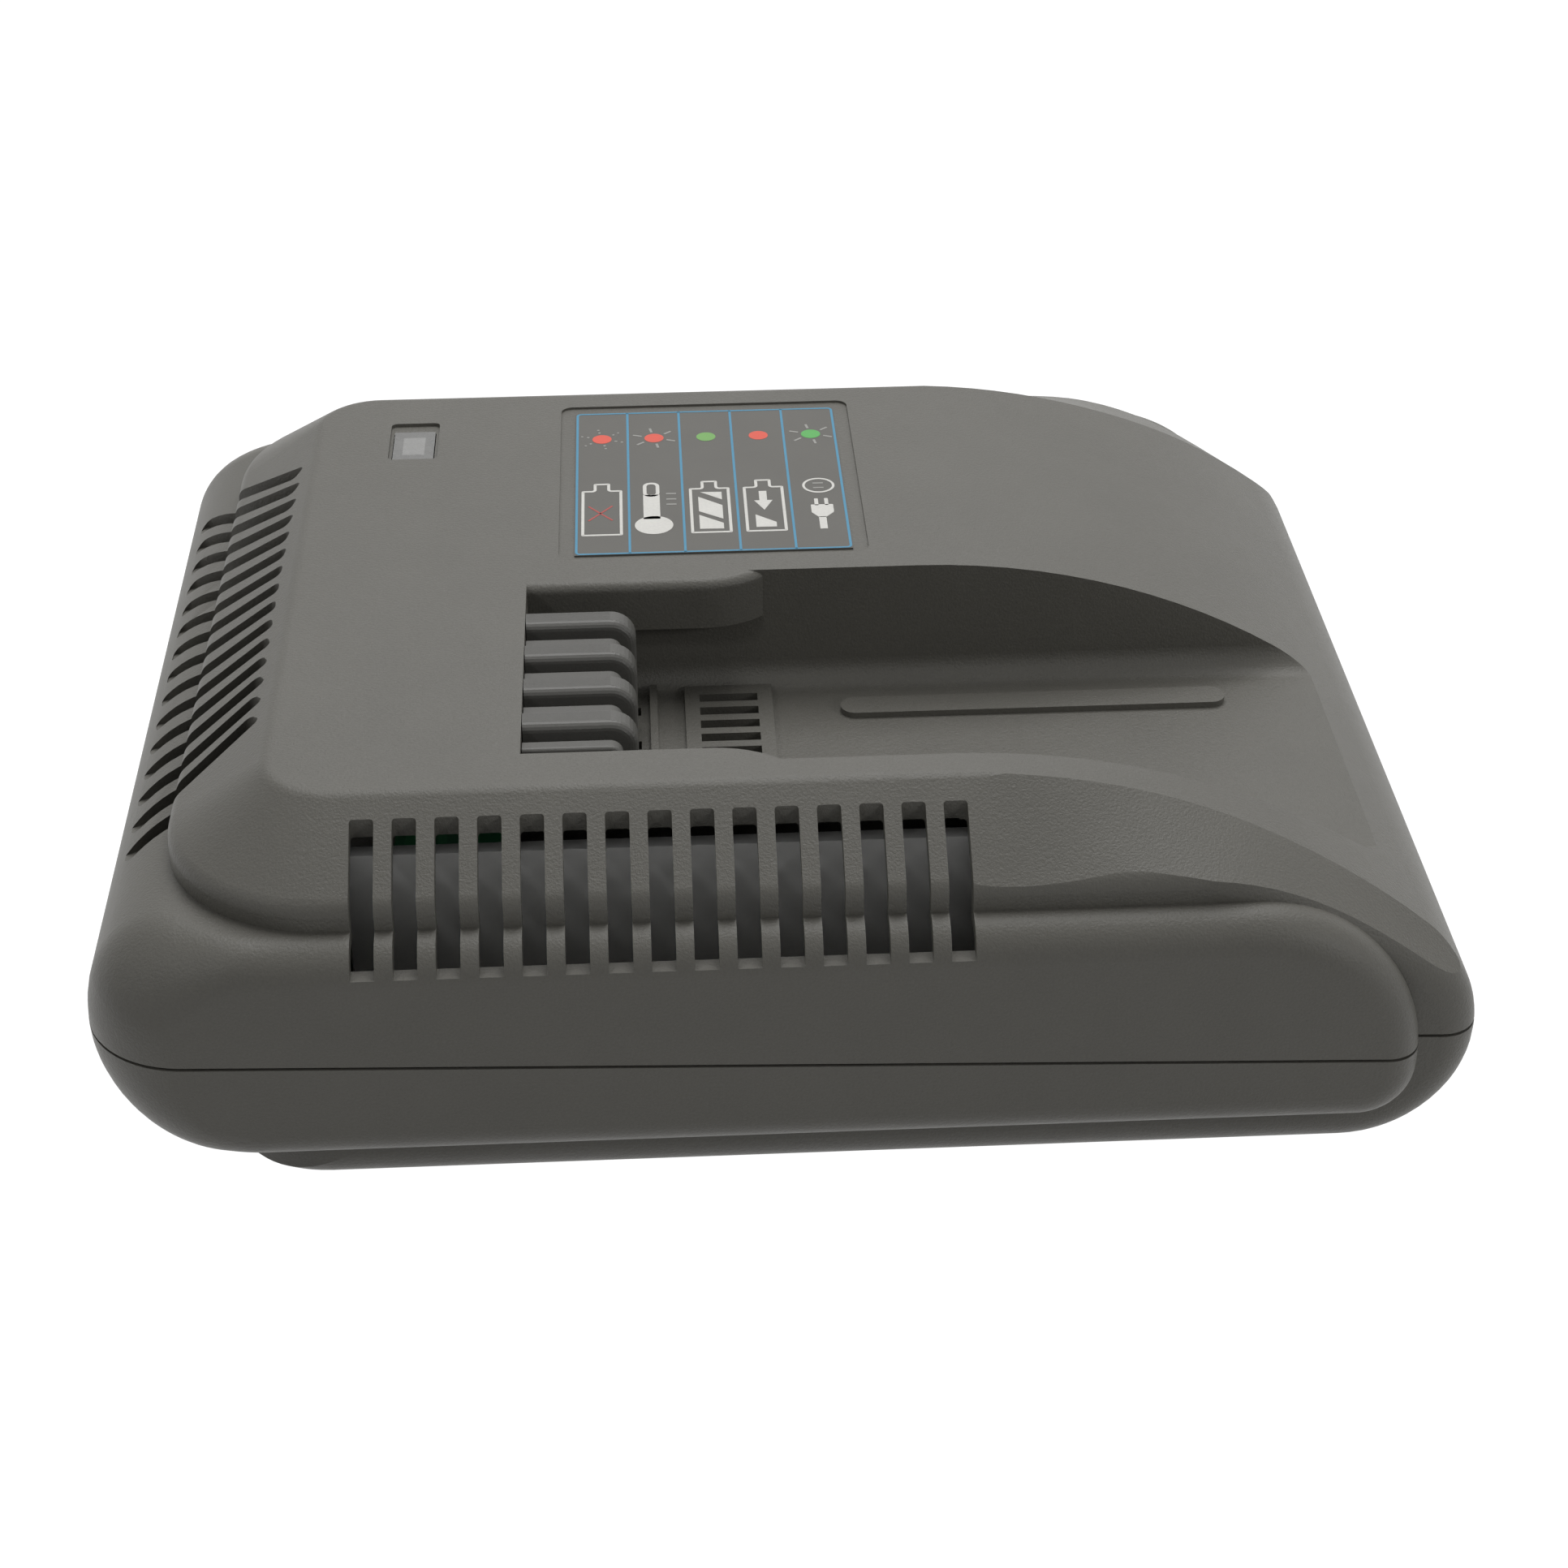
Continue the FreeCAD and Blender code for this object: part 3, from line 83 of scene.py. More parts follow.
class Finish:
    """The look of a surface under way: its nodes and the shader that they feed."""

    def __init__(self, owner):
        owner.use_nodes = True
        self.owner = owner
        self.tree = owner.node_tree

    def fill(self, node, sockets):
        """Links each amount to its socket, and sets every other value there."""
        for key, value in sockets.items():
            if isinstance(value, Amount):
                self.tree.links.new(value.socket, node.inputs[key])
            else:
                node.inputs[key].default_value = value

    def node(self, kind, settings, sockets, outlet=0):
        """Adds a node and gives what comes out of it."""
        added = self.tree.nodes.new(kind)
        for key, value in settings.items():
            setattr(added, key, value)
        self.fill(added, sockets)
        return Amount(self, added.outputs[outlet])

    def place(self):
        return self.node("ShaderNodeTexCoord", {}, {}, "Object")

    def along(self, axis):
        """The place along one axis, in metres."""
        return self.node("ShaderNodeSeparateXYZ", {}, {0: self.place()}, axis)

    def cloud(self, across, detail=2.0, rough=0.5):
        """Irregular patches as wide as across, in millimetres."""
        return self.node("ShaderNodeTexNoise", {}, {
            "Vector": self.place(), "Scale": 1 / (across * MM), "Detail": detail, "Roughness": rough})

    def streaks(self, packed, across):
        """Fine lines across one axis: the pattern is packed closer along it."""
        squeezed = self.node("ShaderNodeMapping", {}, {"Vector": self.place(), "Scale": packed})
        return self.node("ShaderNodeTexNoise", {}, {
            "Vector": squeezed, "Scale": 1 / (across * MM), "Detail": 3.0})

    def tint(self, dark, light, amount):
        return self.node("ShaderNodeMix", {"data_type": "RGBA"}, {0: amount, 6: dark, 7: light}, 2)

    def relief(self, height, depth, strength=1.0):
        """A bump that follows height, depth millimetres from low to high."""
        return self.node("ShaderNodeBump", {}, {
            "Height": height, "Distance": depth * MM, "Strength": strength})

    def wear(self, sockets):
        self.fill(self.tree.nodes["Principled BSDF"], sockets)


def surface(name):
    return Finish(bpy.data.materials.new(name))


def shade(red, green, blue, by=1.0):
    return (red * by, green * by, blue * by, 1.0)


def moulded(name, colour, spread, rough, grain, depth, gloss=0.34):
    """Moulded plastic: soft clouding in the colour and a fine grain in the surface."""
    clouding_across, patch_across = 14.0, 3.5
    speck_share, rough_below, rough_swing = 0.65, 0.05, 0.06
    finish = surface(name)
    clouding = finish.cloud(clouding_across, detail=3.0)
    speck = finish.cloud(grain, detail=3.0, rough=0.6)
    patch = finish.cloud(patch_across)
    mixed = clouding * (1 - speck_share) + speck * speck_share
    finish.wear({
        "Base Color": finish.tint(shade(*colour, 1 - spread), shade(*colour, 1 + spread), mixed),
        "Roughness": rough - rough_below + patch * rough_swing + speck * rough_swing,
        "Specular IOR Level": gloss,
        "Normal": finish.relief(speck, depth),
    })
    return finish


def dress(finish, *nodes):
    """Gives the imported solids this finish."""
    for node in nodes:
        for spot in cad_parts[node].material_slots:
            spot.material = finish.owner


case_grey = (0.118, 0.114, 0.100)
case_plastic = moulded("case_plastic", case_grey, spread=0.24, rough=0.44, grain=0.42, depth=0.12)
dress(case_plastic, "upper_housing", "lower_housing")


# The ribs over the terminals: four fins flush with the top, each with a softened front
# edge and a lower ledge beside it that guides the battery's contact. They are moulded
# with their carrier in the plastic of the case.

rib_grey = (0.104, 0.102, 0.094)
rib_plastic = moulded("rib_plastic", rib_grey, spread=0.18, rough=0.40, grain=0.40, depth=0.03)
dress(rib_plastic, "terminal_guide")

case_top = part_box("upper_housing")[1][2] / MM
rib_left, rib_right, rib_foot = -38.35, -21.2, 45.0
rib_count, rib_pitch, rib_middle, rib_width = 4, 10.1, -31.25, 2.7
rib_edge, rib_end = 1.2, 4.0
ledge_drop, ledge_width, ledge_short, ledge_step = 1.4, 2.2, 2.2, 6.1
# How far a bar stands clear of the solid rib behind it, and the slack in picking its edges.
proud = 0.02


def rounded_bar(left, right, front, back, low, top, end, edge_round):
    """A bar along the case with a round end and a soft front edge, in millimetres."""
    end_steps, edge_steps = 8, 4
    form = bmesh.new()
    middle = Vector((left + right, front + back, low + top)) / 2 * MM
    sides = Vector((right - left, back - front, top - low)) * MM
    bmesh.ops.create_cube(form, size=1.0, matrix=Matrix.LocRotScale(middle, None, sides))
    low_edge, far, face = (low + proud) * MM, (right - proud) * MM, (front + proud) * MM
    lip, near = (top - proud) * MM, (left + proud) * MM
    crown = [item for item in form.edges if all(v.co.x > far and v.co.z > lip for v in item.verts)]
    bmesh.ops.bevel(
        form, geom=crown, offset=end * MM, offset_type="OFFSET", affect="EDGES",
        segments=end_steps, profile=0.5, material=-1)
    rim = [
        item for item in form.edges
        if all(v.co.y < face for v in item.verts)
        and not all(v.co.x < near for v in item.verts)
        and not all(v.co.z < low_edge for v in item.verts)
    ]
    bmesh.ops.bevel(
        form, geom=rim, offset=edge_round * MM, offset_type="OFFSET", affect="EDGES",
        segments=edge_steps, profile=0.5, material=-1)
    return form


def gathered(name, forms, finish):
    """One piece from several forms, fixed to the case."""
    whole = bmesh.new()
    part = bpy.data.meshes.new("part")
    for form in forms:
        bmesh.ops.recalc_face_normals(form, faces=form.faces[:])
        form.to_mesh(part)
        whole.from_mesh(part)
        form.free()
    bpy.data.meshes.remove(part)
    mesh = bpy.data.meshes.new(name)
    whole.to_mesh(mesh)
    whole.free()
    mesh.materials.append(finish.owner)
    piece = bpy.data.objects.new(name, mesh)
    bpy.context.scene.collection.objects.link(piece)
    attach(piece, "case")


rib_forms = []
for number in range(rib_count):
    back = rib_middle + (number - (rib_count - 1) / 2) * rib_pitch + rib_width / 2
    rib_forms.append(rounded_bar(
        rib_left, rib_right, back - rib_width - rib_edge, back + proud, rib_foot, case_top,
        rib_end, rib_edge))
    rib_forms.append(rounded_bar(
        rib_left, rib_right - ledge_short, back - ledge_step - ledge_width, back - ledge_step,
        rib_foot, case_top - ledge_drop, rib_end / 2, rib_edge / 2))
gathered("rib_edges", rib_forms, rib_plastic)


# The feet: four round pads of soft black rubber, pressed into rings under the base.

foot_black = (0.026, 0.026, 0.027)
rubber = moulded("foot_rubber", foot_black, spread=0.3, rough=0.82, grain=0.6, depth=0.03, gloss=0.25)
dress(rubber, "rubber_feet")


# The screws: zinc-plated steel, four up through the base, six in the boards and four
# that hold the fan, with fine turning marks round the shank.

def plated(name, dark, light, rough, packed, across=0.12, metal=1.0):
    """Metal: a faint drawn line in the colour, the gloss and the surface."""
    dull_across, line_share, line_depth = 2.5, 0.6, 0.008
    finish = surface(name)
    line = finish.streaks(packed, across)
    dull = finish.cloud(dull_across, detail=3.0)
    finish.wear({
        "Base Color": finish.tint(light, dark, line * line_share + dull * (1 - line_share)),
        "Metallic": metal,
        "Roughness": rough + line * 0.12 + dull * 0.08,
        "Normal": finish.relief(line, line_depth),
    })
    return finish


dull_zinc, bright_zinc = shade(0.42, 0.43, 0.45), shade(0.66, 0.67, 0.68)
zinc = plated("zinc_steel", dull_zinc, bright_zinc, rough=0.22, packed=(1, 1, 9))
dress(zinc, "case_screws", "board_screws", "fan_screws")


# The status label: a thin satin film let into a shallow recess in the top, printed with
# a blue frame, five columns, five lamp signs and five common charging signs.

dark_film, light_film = shade(0.092, 0.089, 0.080), shade(0.128, 0.124, 0.111)
film = surface("label_film")
film_speck = film.cloud(0.25)
film_haze = film.cloud(9.0)
film.wear({
    "Base Color": film.tint(dark_film, light_film, film_speck * 0.5 + film_haze * 0.5),
    "Roughness": 0.40 + film_speck * 0.10,
    "Specular IOR Level": 0.34,
    "Normal": film.relief(film_speck, 0.012),
})
dress(film, "status_label")

label_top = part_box("status_label")[1][2]
print_thick = 0.03 * MM


def polygon(points, corner=0.0):
    """A flat form through the points, in millimetres, with its corners rounded."""
    corner_steps = 4
    form = bmesh.new()
    form.faces.new([form.verts.new((x * MM, y * MM, 0)) for x, y in points])
    if corner:
        bmesh.ops.bevel(
            form, geom=form.verts[:], offset=corner * MM, offset_type="OFFSET", affect="VERTICES",
            segments=corner_steps, profile=0.5, material=-1)
    return form


def hollow(form, line):
    """Leaves only a rim of the form, as wide as line."""
    rim = bmesh.ops.inset_region(
        form, faces=form.faces[:], thickness=line * MM, use_even_offset=True, use_boundary=True)
    inner = [face for face in form.faces if face not in rim["faces"]]
    bmesh.ops.delete(form, geom=inner, context="FACES")
    return form


def oblong(left, front, right, back, corner=0.0):
    return polygon([(left, front), (right, front), (right, back), (left, back)], corner)


def round_form(x, y, radius):
    sides = 36
    form = bmesh.new()
    bmesh.ops.create_circle(
        form, cap_ends=True, radius=radius * MM, segments=sides,
        matrix=Matrix.Translation((x * MM, y * MM, 0)))
    return form


def stroke(start, end, line):
    """A straight printed line from start to end."""
    start, end = Vector(start), Vector(end)
    side = (end - start).normalized().orthogonal() * line / 2
    return polygon([start + side, end + side, end - side, start - side])


def printed(name, forms, finish):
    """Lays the flat forms on the label as one coat of ink."""
    for form in forms:
        raised = bmesh.ops.extrude_face_region(form, geom=form.faces[:])
        tops = [item for item in raised["geom"] if isinstance(item, bmesh.types.BMVert)]
        bmesh.ops.translate(form, verts=tops, vec=(0, 0, print_thick))
        bmesh.ops.translate(form, verts=form.verts[:], vec=(0, 0, label_top))
    gathered(name, forms, finish)


def ink(name, colour):
    """Screen ink: a satin coat with tiny pinholes and thin patches."""
    finish = surface(name)
    thin = finish.cloud(0.5, detail=3.0)
    patchy = finish.cloud(6.0)
    worn, full = shade(*colour, 0.80), shade(*colour, 1.12)
    finish.wear({
        "Base Color": finish.tint(worn, full, thin * 0.6 + patchy * 0.4),
        "Roughness": 0.42 + thin * 0.12,
        "Normal": finish.relief(thin, 0.006),
    })
    return finish


blue_ink = ink("blue_ink", (0.055, 0.270, 0.440))
white_ink = ink("white_ink", (0.740, 0.730, 0.690))
grey_ink = ink("grey_ink", (0.330, 0.325, 0.305))
red_ink = ink("red_ink", (0.780, 0.095, 0.055))
dark_red_ink = ink("dark_red_ink", (0.430, 0.055, 0.045))
green_ink = ink("green_ink", (0.085, 0.420, 0.085))
pale_green_ink = ink("pale_green_ink", (0.170, 0.400, 0.095))

frame_line, frame_corner = 0.42, 0.9
frame_left, frame_front, frame_right, frame_back = -30.8, 4.5, 14.7, 57.4
column_first, column_pitch, column_count = -21.8, 9.1, 4
column_front, column_back = 4.7, 57.2
label_frame = [hollow(oblong(frame_left, frame_front, frame_right, frame_back, frame_corner), frame_line)]
for number in range(column_count):
    column = column_first + number * column_pitch
    label_frame.append(stroke((column, column_front), (column, column_back), frame_line))
printed("label_frame_print", label_frame, blue_ink)

faulty_lamp, hot_lamp, full_lamp, charging_lamp, mains_lamp = -26.3, -17.2, -8.1, 1.1, 10.3
lamp_row, lamp_radius = 47.0, 1.68
red_lamps = [round_form(x, lamp_row, lamp_radius) for x in (faulty_lamp, hot_lamp, charging_lamp)]
printed("red_lamp_signs", red_lamps, red_ink)
printed("pale_green_lamp_sign", [round_form(full_lamp, lamp_row, lamp_radius)], pale_green_ink)
printed("green_lamp_sign", [round_form(mains_lamp, lamp_row, lamp_radius)], green_ink)

sign_line, fine_line, finest_line = 0.5, 0.42, 0.38
whole_ray, broken_ray = [(2.3, 3.9)], [(2.35, 2.8), (3.5, 3.9)]


def rays(x, reaches, line):
    """Six short lines round a lamp sign, each from one reach to the next."""
    count, first_turn = 6, 40
    found = []
    for step in range(count):
        angle = math.radians(first_turn + 360 / count * step)
        way = Vector((math.cos(angle), math.sin(angle)))
        middle = Vector((x, lamp_row))
        for near, far in reaches:
            found.append(stroke(middle + way * near, middle + way * far, line))
    return found


def warmth_marks():
    """Three short lines beside the thermometer."""
    left, right, fall = -15.5, -13.8, 0.05
    return [stroke((left, y), (right, y - fall), fine_line) for y in (25.6, 23.6, 21.7)]


def socket_holes():
    """Two short lines in the socket sign."""
    left, right = 9.5, 11.3
    return [stroke((left, y), (right, y), finest_line) for y in (28.0, 26.3)]


fine_signs = rays(hot_lamp, whole_ray, fine_line) + rays(mains_lamp, whole_ray, fine_line)
fine_signs += rays(faulty_lamp, broken_ray, finest_line) + warmth_marks() + socket_holes()
printed("fine_grey_signs", fine_signs, grey_ink)


def battery_sign(middle):
    """The outline of a battery with its cap on top."""
    half, cap, foot, shoulder, top, corner = 3.45, 1.4, 11.0, 27.3, 29.9, 0.35
    return hollow(polygon([
        (middle - half, foot), (middle + half, foot), (middle + half, shoulder),
        (middle + cap, shoulder), (middle + cap, top), (middle - cap, top),
        (middle - cap, shoulder), (middle - half, shoulder)], corner), sign_line)


def thermometer():
    """A round bulb, the filled part of the tube and the empty part above it."""
    left, right, foot, filled = -19.4, -16.6, 16.5, 25.3
    glass_foot, glass_top, glass_corner, glass_line = 24.6, 29.8, 1.3, 0.62
    bulb_x, bulb_y, bulb_radius = -17.7, 14.3, 3.2
    return [
        round_form(bulb_x, bulb_y, bulb_radius),
        oblong(left, foot, right, filled),
        hollow(oblong(left, glass_foot, right, glass_top, glass_corner), glass_line),
    ]


def full_charge():
    """Three slanted bars that fill the battery sign."""
    left, right, tip = -10.1, -6.1, -9.7
    return [
        polygon([(tip, 25.8), (right, 25.7), (right, 22.9)]),
        polygon([(left, 24.1), (right, 20.8), (right, 15.9), (left, 18.8)]),
        polygon([(left, 17.5), (right, 14.4), (right, 12.4), (left, 12.5)]),
    ]


def rising_charge():
    """An arrow down into the battery sign, over one slanted bar."""
    shaft_left, shaft_right, shaft_top = 0.2, 1.5, 25.6
    head_left, head_right, head_top, head_tip = -0.7, 2.4, 22.2, (0.9, 18.7)
    bar_left, bar_right, bar_foot = -0.7, 2.7, 12.6
    return [
        polygon([
            (shaft_left, shaft_top), (shaft_right, shaft_top), (shaft_right, head_top),
            (head_right, head_top), head_tip, (head_left, head_top), (shaft_left, head_top)]),
        polygon([(bar_left, 17.1), (bar_right, 14.2), (bar_right, bar_foot), (bar_left, bar_foot)]),
    ]


def mains_plug():
    """A round socket over a plug with two pins, a body and its lead."""
    socket_x, socket_y, socket_radius = 10.45, 27.15, 2.75
    pin_foot, pin_top, corner = 19.8, 22.3, 0.2
    left, right, top, shoulder = 8.75, 12.5, 20.1, 17.3
    neck_left, neck_right, neck = 9.9, 11.1, 15.5
    return [
        hollow(round_form(socket_x, socket_y, socket_radius), fine_line),
        oblong(9.4, pin_foot, 10.05, pin_top, corner),
        oblong(11.1, pin_foot, 11.75, pin_top, corner),
        polygon([
            (left, top), (right, top), (right, shoulder), (neck_right, neck), (neck_left, neck),
            (left, shoulder)], corner),
        oblong(9.85, 11.4, neck_right, 15.7),
    ]


def cross():
    """Two thin strokes over the battery sign of the faulty column."""
    left, right, foot, top, line = -28.6, -24.6, 16.4, 21.6, 0.32
    return [stroke((left, top), (right, foot), line), stroke((right, top), (left, foot), line)]


white_signs = [battery_sign(middle) for middle in (-26.35, -8.15, 1.0)]
white_signs += thermometer() + full_charge() + rising_charge() + mains_plug()
printed("white_signs", white_signs, white_ink)
printed("red_cross_sign", cross(), dark_red_ink)


# The light pipe: a clouded clear plug in the top. Its core is painted brighter, a painted glow
# that stands in for the light of two lamps of cast resin shining up into it from the small board below.

painted_glow_half_width, painted_glow_half_length = 1.9 * MM, 3.3 * MM
lens_low, lens_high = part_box("light_pipe")
lens = surface("clouded_lens")
# Painted glow: the colour is lighter in a rectangle in the middle of the lens, as if lit from below.
across = abs(lens.along("X") - (lens_low[0] + lens_high[0]) / 2) < painted_glow_half_width
within_painted_glow_length = abs(lens.along("Y") - (lens_low[1] + lens_high[1]) / 2) < painted_glow_half_length
milk = lens.cloud(1.6, detail=3.0)
dim_lens, milk_and_painted_glow_lens = shade(0.11, 0.11, 0.105), shade(0.36, 0.36, 0.35)
lens.wear({
    "Base Color": lens.tint(dim_lens, milk_and_painted_glow_lens, across * within_painted_glow_length * 0.55 + milk * 0.35),
    "Roughness": 0.20 + milk * 0.14,
    "Transmission Weight": 0.12,
    "Coat Weight": 0.4,
    "Coat Roughness": 0.12,
    "Normal": lens.relief(milk, 0.02),
})
dress(lens, "light_pipe")

lamp_resin = surface("lamp_resin")
phosphor = lamp_resin.cloud(0.4, detail=3.0)
lamp_resin.wear({
    "Base Color": lamp_resin.tint(shade(0.75, 0.70, 0.42), shade(0.92, 0.90, 0.80), phosphor),
    "Roughness": 0.16 + phosphor * 0.12,
    "Normal": lamp_resin.relief(phosphor, 0.01),
})
dress(lamp_resin, "status_lamps")


# The boards: glass-fibre laminate under green solder mask, the copper tracks showing
# through as paler lines. The main one stands on posts of the lower shell, and the small
# lamp board hangs on posts under the top.

board = surface("board_laminate")


def copper(direction, scale, bend, ripple, gap):
    """One where a track runs, else nothing. A higher gap leaves narrower tracks."""
    wave = board.node("ShaderNodeTexWave", {"bands_direction": direction}, {
        "Vector": board.place(), "Scale": scale, "Distortion": bend, "Detail": 1.0,
        "Detail Scale": ripple})
    return wave > gap


weave = board.cloud(0.6)
long_tracks = copper("X", scale=60.0, bend=5.0, ripple=0.6, gap=0.80)
cross_tracks = copper("Y", scale=45.0, bend=6.0, ripple=0.5, gap=0.84)
tracks = long_tracks * 0.5 + cross_tracks * 0.5
dark_mask, light_mask = shade(0.010, 0.080, 0.032), shade(0.045, 0.230, 0.090)
board.wear({
    "Base Color": board.tint(dark_mask, light_mask, tracks * 0.7 + weave * 0.3),
    "Roughness": 0.34 + weave * 0.10,
    "Normal": board.relief(tracks + weave * 0.2, 0.04),
})
dress(board, "main_board", "light_board")


# The terminal block and its three blades: a black carrier on the board with plated blades
# that stand in the gaps between the ribs.

plain_black = (0.022, 0.022, 0.024)
black_plastic = moulded("black_plastic", plain_black, spread=0.3, rough=0.42, grain=0.5, depth=0.02)
dress(black_plastic, "terminal_block")
dull_brass, bright_brass = shade(0.42, 0.30, 0.13), shade(0.78, 0.62, 0.33)
plating = plated("blade_plating", dull_brass, bright_brass, rough=0.20, packed=(1, 9, 1))
dress(plating, "terminal_blades")


# The fan: a square frame screwed up under the channel's floor, and a rotor that spins on
# its hub. Both are moulded in glass-filled black plastic.

fan_black = (0.018, 0.018, 0.019)
fan_plastic = moulded(
    "fan_plastic", fan_black, spread=0.35, rough=0.38, grain=0.45, depth=0.015, gloss=0.5)
dress(fan_plastic, "fan_frame", "fan_rotor")


# The heat sinks: aluminium, dull from the rolling mill, a plain plate behind the front
# vents and a finned one at the back. The black power parts stand against them.

dull_sheet, bright_sheet = shade(0.50, 0.50, 0.49), shade(0.66, 0.66, 0.65)
rolled = plated(
    "rolled_aluminium", dull_sheet, bright_sheet, rough=0.55, packed=(9, 1, 1), across=0.2, metal=0.6)
dress(rolled, "front_heat_sink", "rear_heat_sink")
resin_black = (0.020, 0.020, 0.022)
device_resin = moulded("device_resin", resin_black, spread=0.3, rough=0.55, grain=0.3, depth=0.02)
dress(device_resin, "output_rectifiers", "power_transistors", "control_chips")


# The transformer and the filter choke: pressed ferrite round a black bobbin, wound with
# enamelled copper wire that shows as fine ridges, with painted shade between them and a painted highlight
# along them.

ferrite_grey = (0.040, 0.040, 0.043)
ferrite = moulded("ferrite", ferrite_grey, spread=0.35, rough=0.62, grain=0.7, depth=0.04)
dress(ferrite, "transformer_core")
dress(black_plastic, "transformer_bobbin")


def wound(name, direction):
    """Enamelled copper wire, laid turn by turn, with painted shade in the grooves between turns and a
    painted highlight on their crests. A wave at scale 1 repeats each 2 pi / 20.
    """
    wire_pitch, wire_depth = 0.6, 0.15
    finish = surface(name)
    turns = finish.node("ShaderNodeTexWave", {"bands_direction": direction, "wave_profile": "SIN"}, {
        "Vector": finish.place(), "Scale": 1 / (wire_pitch * MM) / 20 * 2 * math.pi, "Distortion": 0.3})
    soot = finish.cloud(2.0, detail=3.0)
    sooty_copper_and_painted_groove_shade, clean_copper_and_painted_crest_highlight = shade(0.16, 0.045, 0.015), shade(0.52, 0.20, 0.075)
    finish.wear({
        # Painted shade and highlight: the copper is darker in the grooves between turns and lighter on
        # their crests, mixed with random soot.
        "Base Color": finish.tint(sooty_copper_and_painted_groove_shade, clean_copper_and_painted_crest_highlight, turns * 0.6 + soot * 0.4),
        "Metallic": 0.6,
        "Roughness": 0.28 + soot * 0.12,
        "Normal": finish.relief(turns, wire_depth),
    })
    return finish


dress(wound("transformer_wire", "Z"), "transformer_winding")
dress(wound("choke_wire", "X"), "filter_choke")


# The capacitors: aluminium cans in dark shrunk sleeves with a bare rim and top, and a
# potted film capacitor in an ochre box.

def sleeved(name, node):
    """A dark sleeve up to the rim of the can, and bare aluminium above it."""
    rim_height, can_grey = 0.4, shade(0.62, 0.63, 0.64)
    dark_sleeve, light_sleeve = shade(0.018, 0.026, 0.052), shade(0.032, 0.045, 0.085)
    finish = surface(name)
    bare = finish.along("Z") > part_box(node)[1][2] - rim_height * MM
    haze = finish.cloud(1.5, detail=3.0)
    finish.wear({
        "Base Color": finish.tint(finish.tint(dark_sleeve, light_sleeve, haze), can_grey, bare),
        "Metallic": bare,
        "Roughness": 0.26 + haze * 0.16,
        "Normal": finish.relief(haze, 0.02),
    })
    dress(finish, node)


sleeved("bulk_sleeve", "bulk_capacitors")
sleeved("output_sleeve", "output_capacitors")
ochre = (0.48, 0.34, 0.075)
ochre_box = moulded("ochre_box", ochre, spread=0.15, rough=0.36, grain=0.8, depth=0.02)
dress(ochre_box, "film_capacitor")


# The fuse: a glass tube held between two plated spring clips on the board.

dusty_glass, clear_glass = shade(0.80, 0.83, 0.82), shade(0.93, 0.95, 0.94)
fuse_glass = surface("fuse_glass")
dust = fuse_glass.cloud(0.8, detail=3.0)
fuse_glass.wear({
    "Base Color": fuse_glass.tint(dusty_glass, clear_glass, dust),
    "Roughness": 0.04 + dust * 0.08,
    "Transmission Weight": 0.75,
    "Normal": fuse_glass.relief(dust, 0.004),
})
dress(fuse_glass, "fuse")
dress(plating, "fuse_clips")


# The mains inlet: a black two-pin socket in the back wall with plated pins.

dress(black_plastic, "mains_inlet")
dress(plating, "inlet_pins")


# The leads: soft insulated wire from the inlet, the fan and the lamp board to nylon
# headers on the main board.

nylon_cream, lead_red = (0.62, 0.59, 0.49), (0.42, 0.030, 0.024)
nylon = moulded("header_nylon", nylon_cream, spread=0.12, rough=0.40, grain=0.6, depth=0.02)
dress(nylon, "board_headers")
insulation = moulded("lead_insulation", lead_red, spread=0.2, rough=0.36, grain=0.5, depth=0.01)
dress(insulation, "inlet_leads", "fan_lead", "light_lead")


# The studio: a pale floor, a pale world, one broad soft light overhead and two small
# ones from the right and the left, and the camera at the photograph's viewing angle.

def shown_white(finish):
    """One where the camera, a gloss or a clear part sees the surface, else nothing."""
    camera_ray, glossy_ray, clear_ray = [
        finish.node("ShaderNodeLightPath", {}, {}, outlet)
        for outlet in ("Is Camera Ray", "Is Glossy Ray", "Is Transmission Ray")
    ]
    return camera_ray.reckon("MINIMUM", camera_ray + glossy_ray + clear_ray, 1.0)


floor_radius, floor_sides = 4.0, 64
floor_form = bmesh.new()
bmesh.ops.create_circle(floor_form, cap_ends=True, radius=floor_radius, segments=floor_sides)
floor_mesh = bpy.data.meshes.new("studio_floor")
floor_form.to_mesh(floor_mesh)
floor_form.free()
floor = bpy.data.objects.new("studio_floor", floor_mesh)
bpy.context.scene.collection.objects.link(floor)

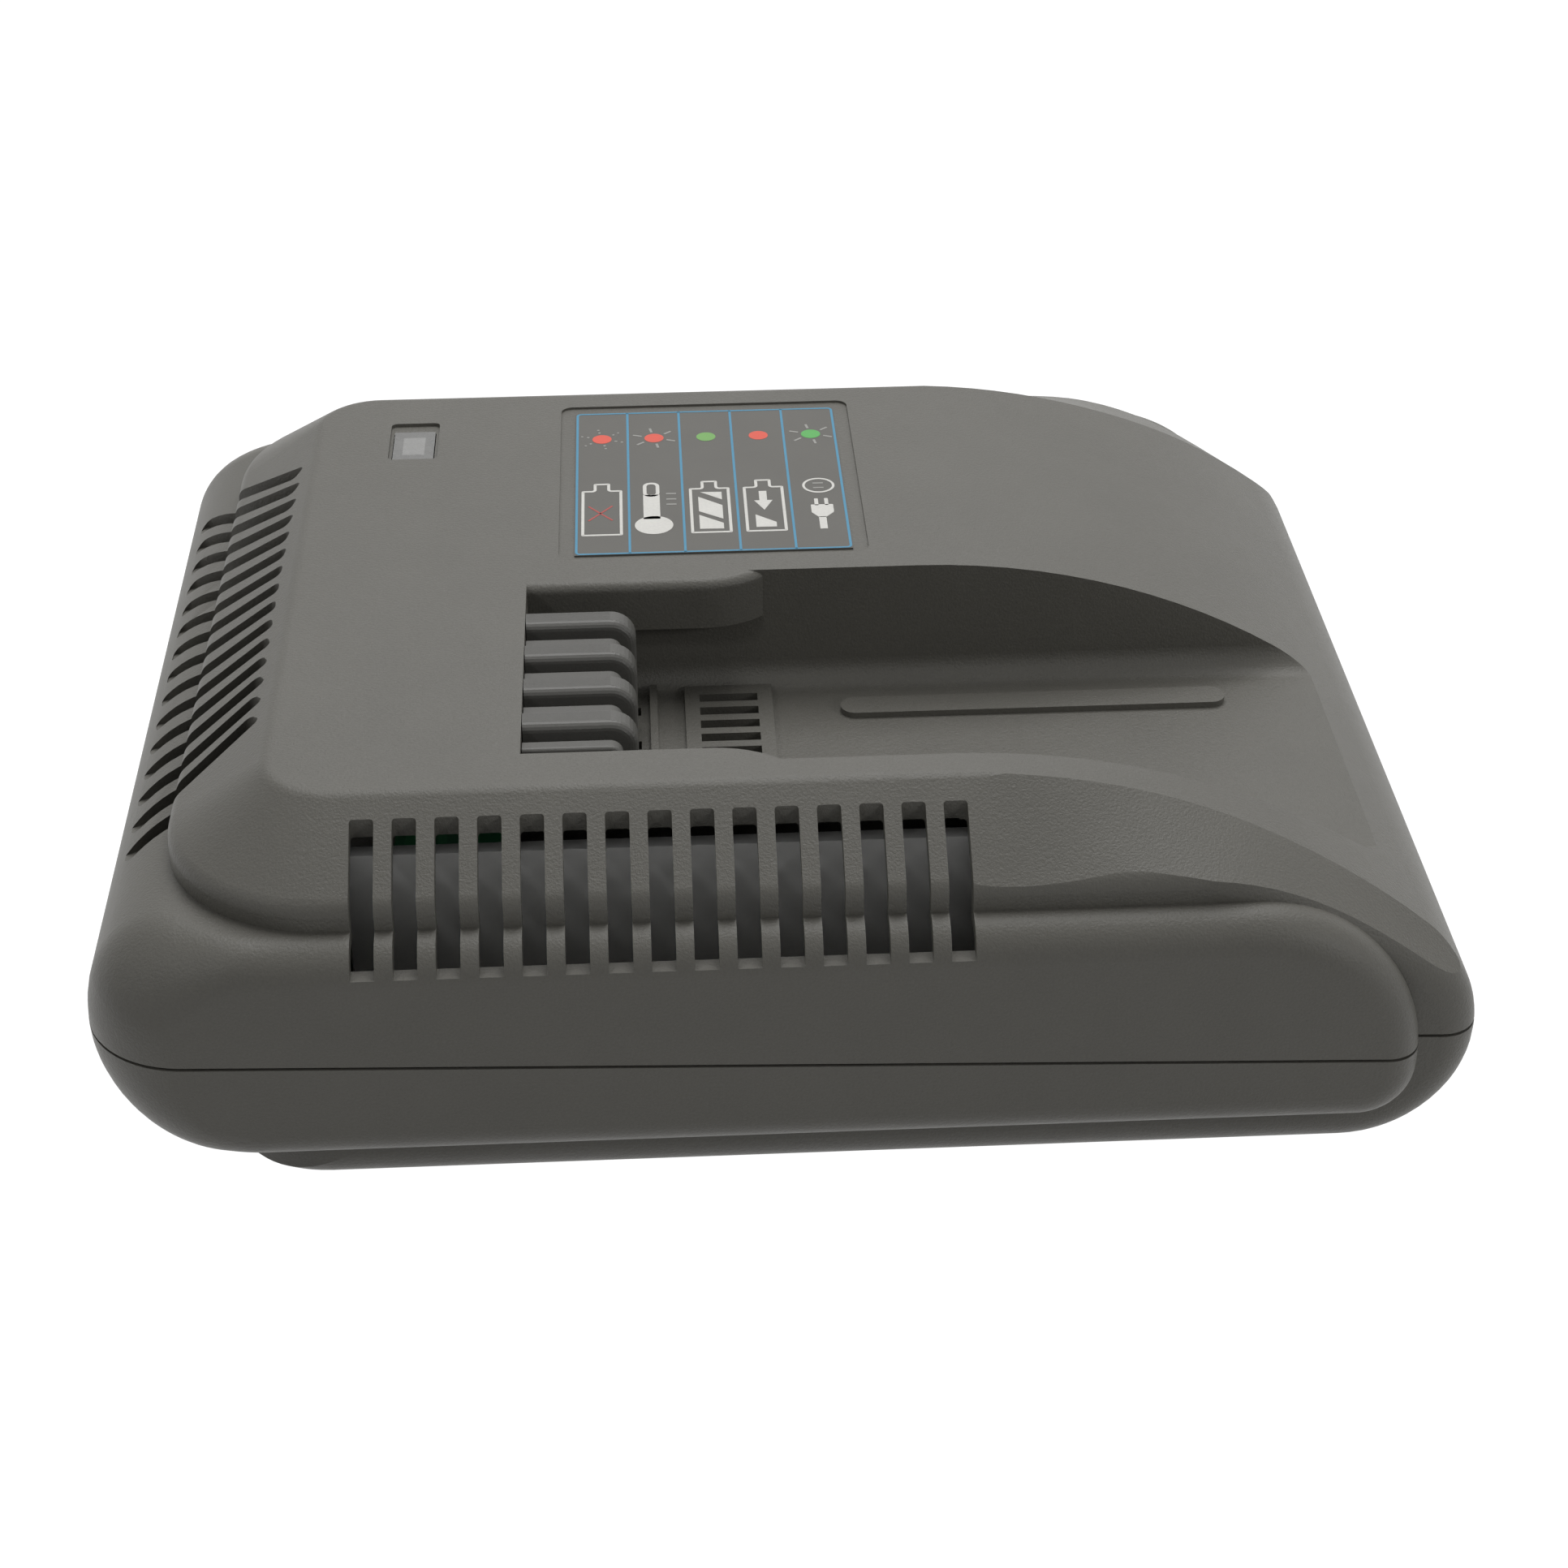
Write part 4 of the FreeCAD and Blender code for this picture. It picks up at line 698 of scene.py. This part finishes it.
white = shade(1, 1, 1)
dark_paper, light_paper = shade(0.46, 0.46, 0.46), shade(0.50, 0.50, 0.50)
glow_strength, glow_share = 1.25, 0.82
paper = surface("floor_paper")
paper_shade = paper.cloud(60.0)
paper.wear({
    "Base Color": paper.tint(dark_paper, light_paper, paper_shade),
    "Roughness": 0.9,
    "Specular IOR Level": 0.0,
})
glow = paper.node("ShaderNodeEmission", {}, {"Color": white, "Strength": glow_strength})
matt = Amount(paper, paper.tree.nodes["Principled BSDF"].outputs[0])
blend = paper.node("ShaderNodeMixShader", {}, {0: shown_white(paper) * glow_share, 1: matt, 2: glow})
paper.fill(paper.tree.nodes["Material Output"], {"Surface": blend})
floor_mesh.materials.append(paper.owner)

world = bpy.data.worlds.new("studio_world")
bpy.context.scene.world = world
air = Finish(world)
air_light = 0.13
air.fill(air.tree.nodes["Background"], {
    "Color": white, "Strength": air_light + (1 - air_light) * shown_white(air)})


def soft_light(name, spot, side, power):
    """A square lamp that shines on the middle of the charger."""
    aim = Vector((0.0, 0.0, 0.03))
    lamp = bpy.data.lights.new(name, "AREA")
    lamp.shape = "SQUARE"
    lamp.size = side
    lamp.energy = power
    holder = bpy.data.objects.new(name, lamp)
    holder.location = spot
    holder.rotation_euler = (aim - Vector(spot)).to_track_quat("-Z", "Y").to_euler()
    bpy.context.scene.collection.objects.link(holder)


soft_light("overhead_light", (0.10, 0.42, 1.05), side=0.8, power=9.4)
soft_light("right_light", (0.85, -0.60, 0.50), side=0.20, power=1.8)
soft_light("left_light", (-0.70, -0.50, 0.75), side=0.12, power=1.1)

photo_side, focal_pixels, sensor_side = 1932, 3757.12, 36.0
camera_x, camera_y, camera_z = -0.0184636, -0.4368556, 0.2981983
tilt, swing, roll = math.radians(32.585), math.radians(2.813), math.radians(-0.304)
forward = Vector((math.sin(swing) * math.cos(tilt), math.cos(swing) * math.cos(tilt), -math.sin(tilt)))
level = Vector((math.cos(swing), -math.sin(swing), 0))
upward = level.cross(forward)
right = level * math.cos(roll) + upward * math.sin(roll)
up = upward * math.cos(roll) - level * math.sin(roll)
camera_lens = bpy.data.cameras.new("camera")
camera_lens.sensor_width = sensor_side
camera_lens.lens = focal_pixels / photo_side * sensor_side
camera_lens.clip_start = 0.01
camera_lens.clip_end = 20.0
camera = bpy.data.objects.new("camera", camera_lens)
camera.matrix_world = Matrix((
    (right.x, up.x, -forward.x, camera_x),
    (right.y, up.y, -forward.y, camera_y),
    (right.z, up.z, -forward.z, camera_z),
    (0, 0, 0, 1)))
bpy.context.scene.collection.objects.link(camera)
bpy.context.scene.camera = camera
bpy.context.scene.view_settings.view_transform = "Standard"
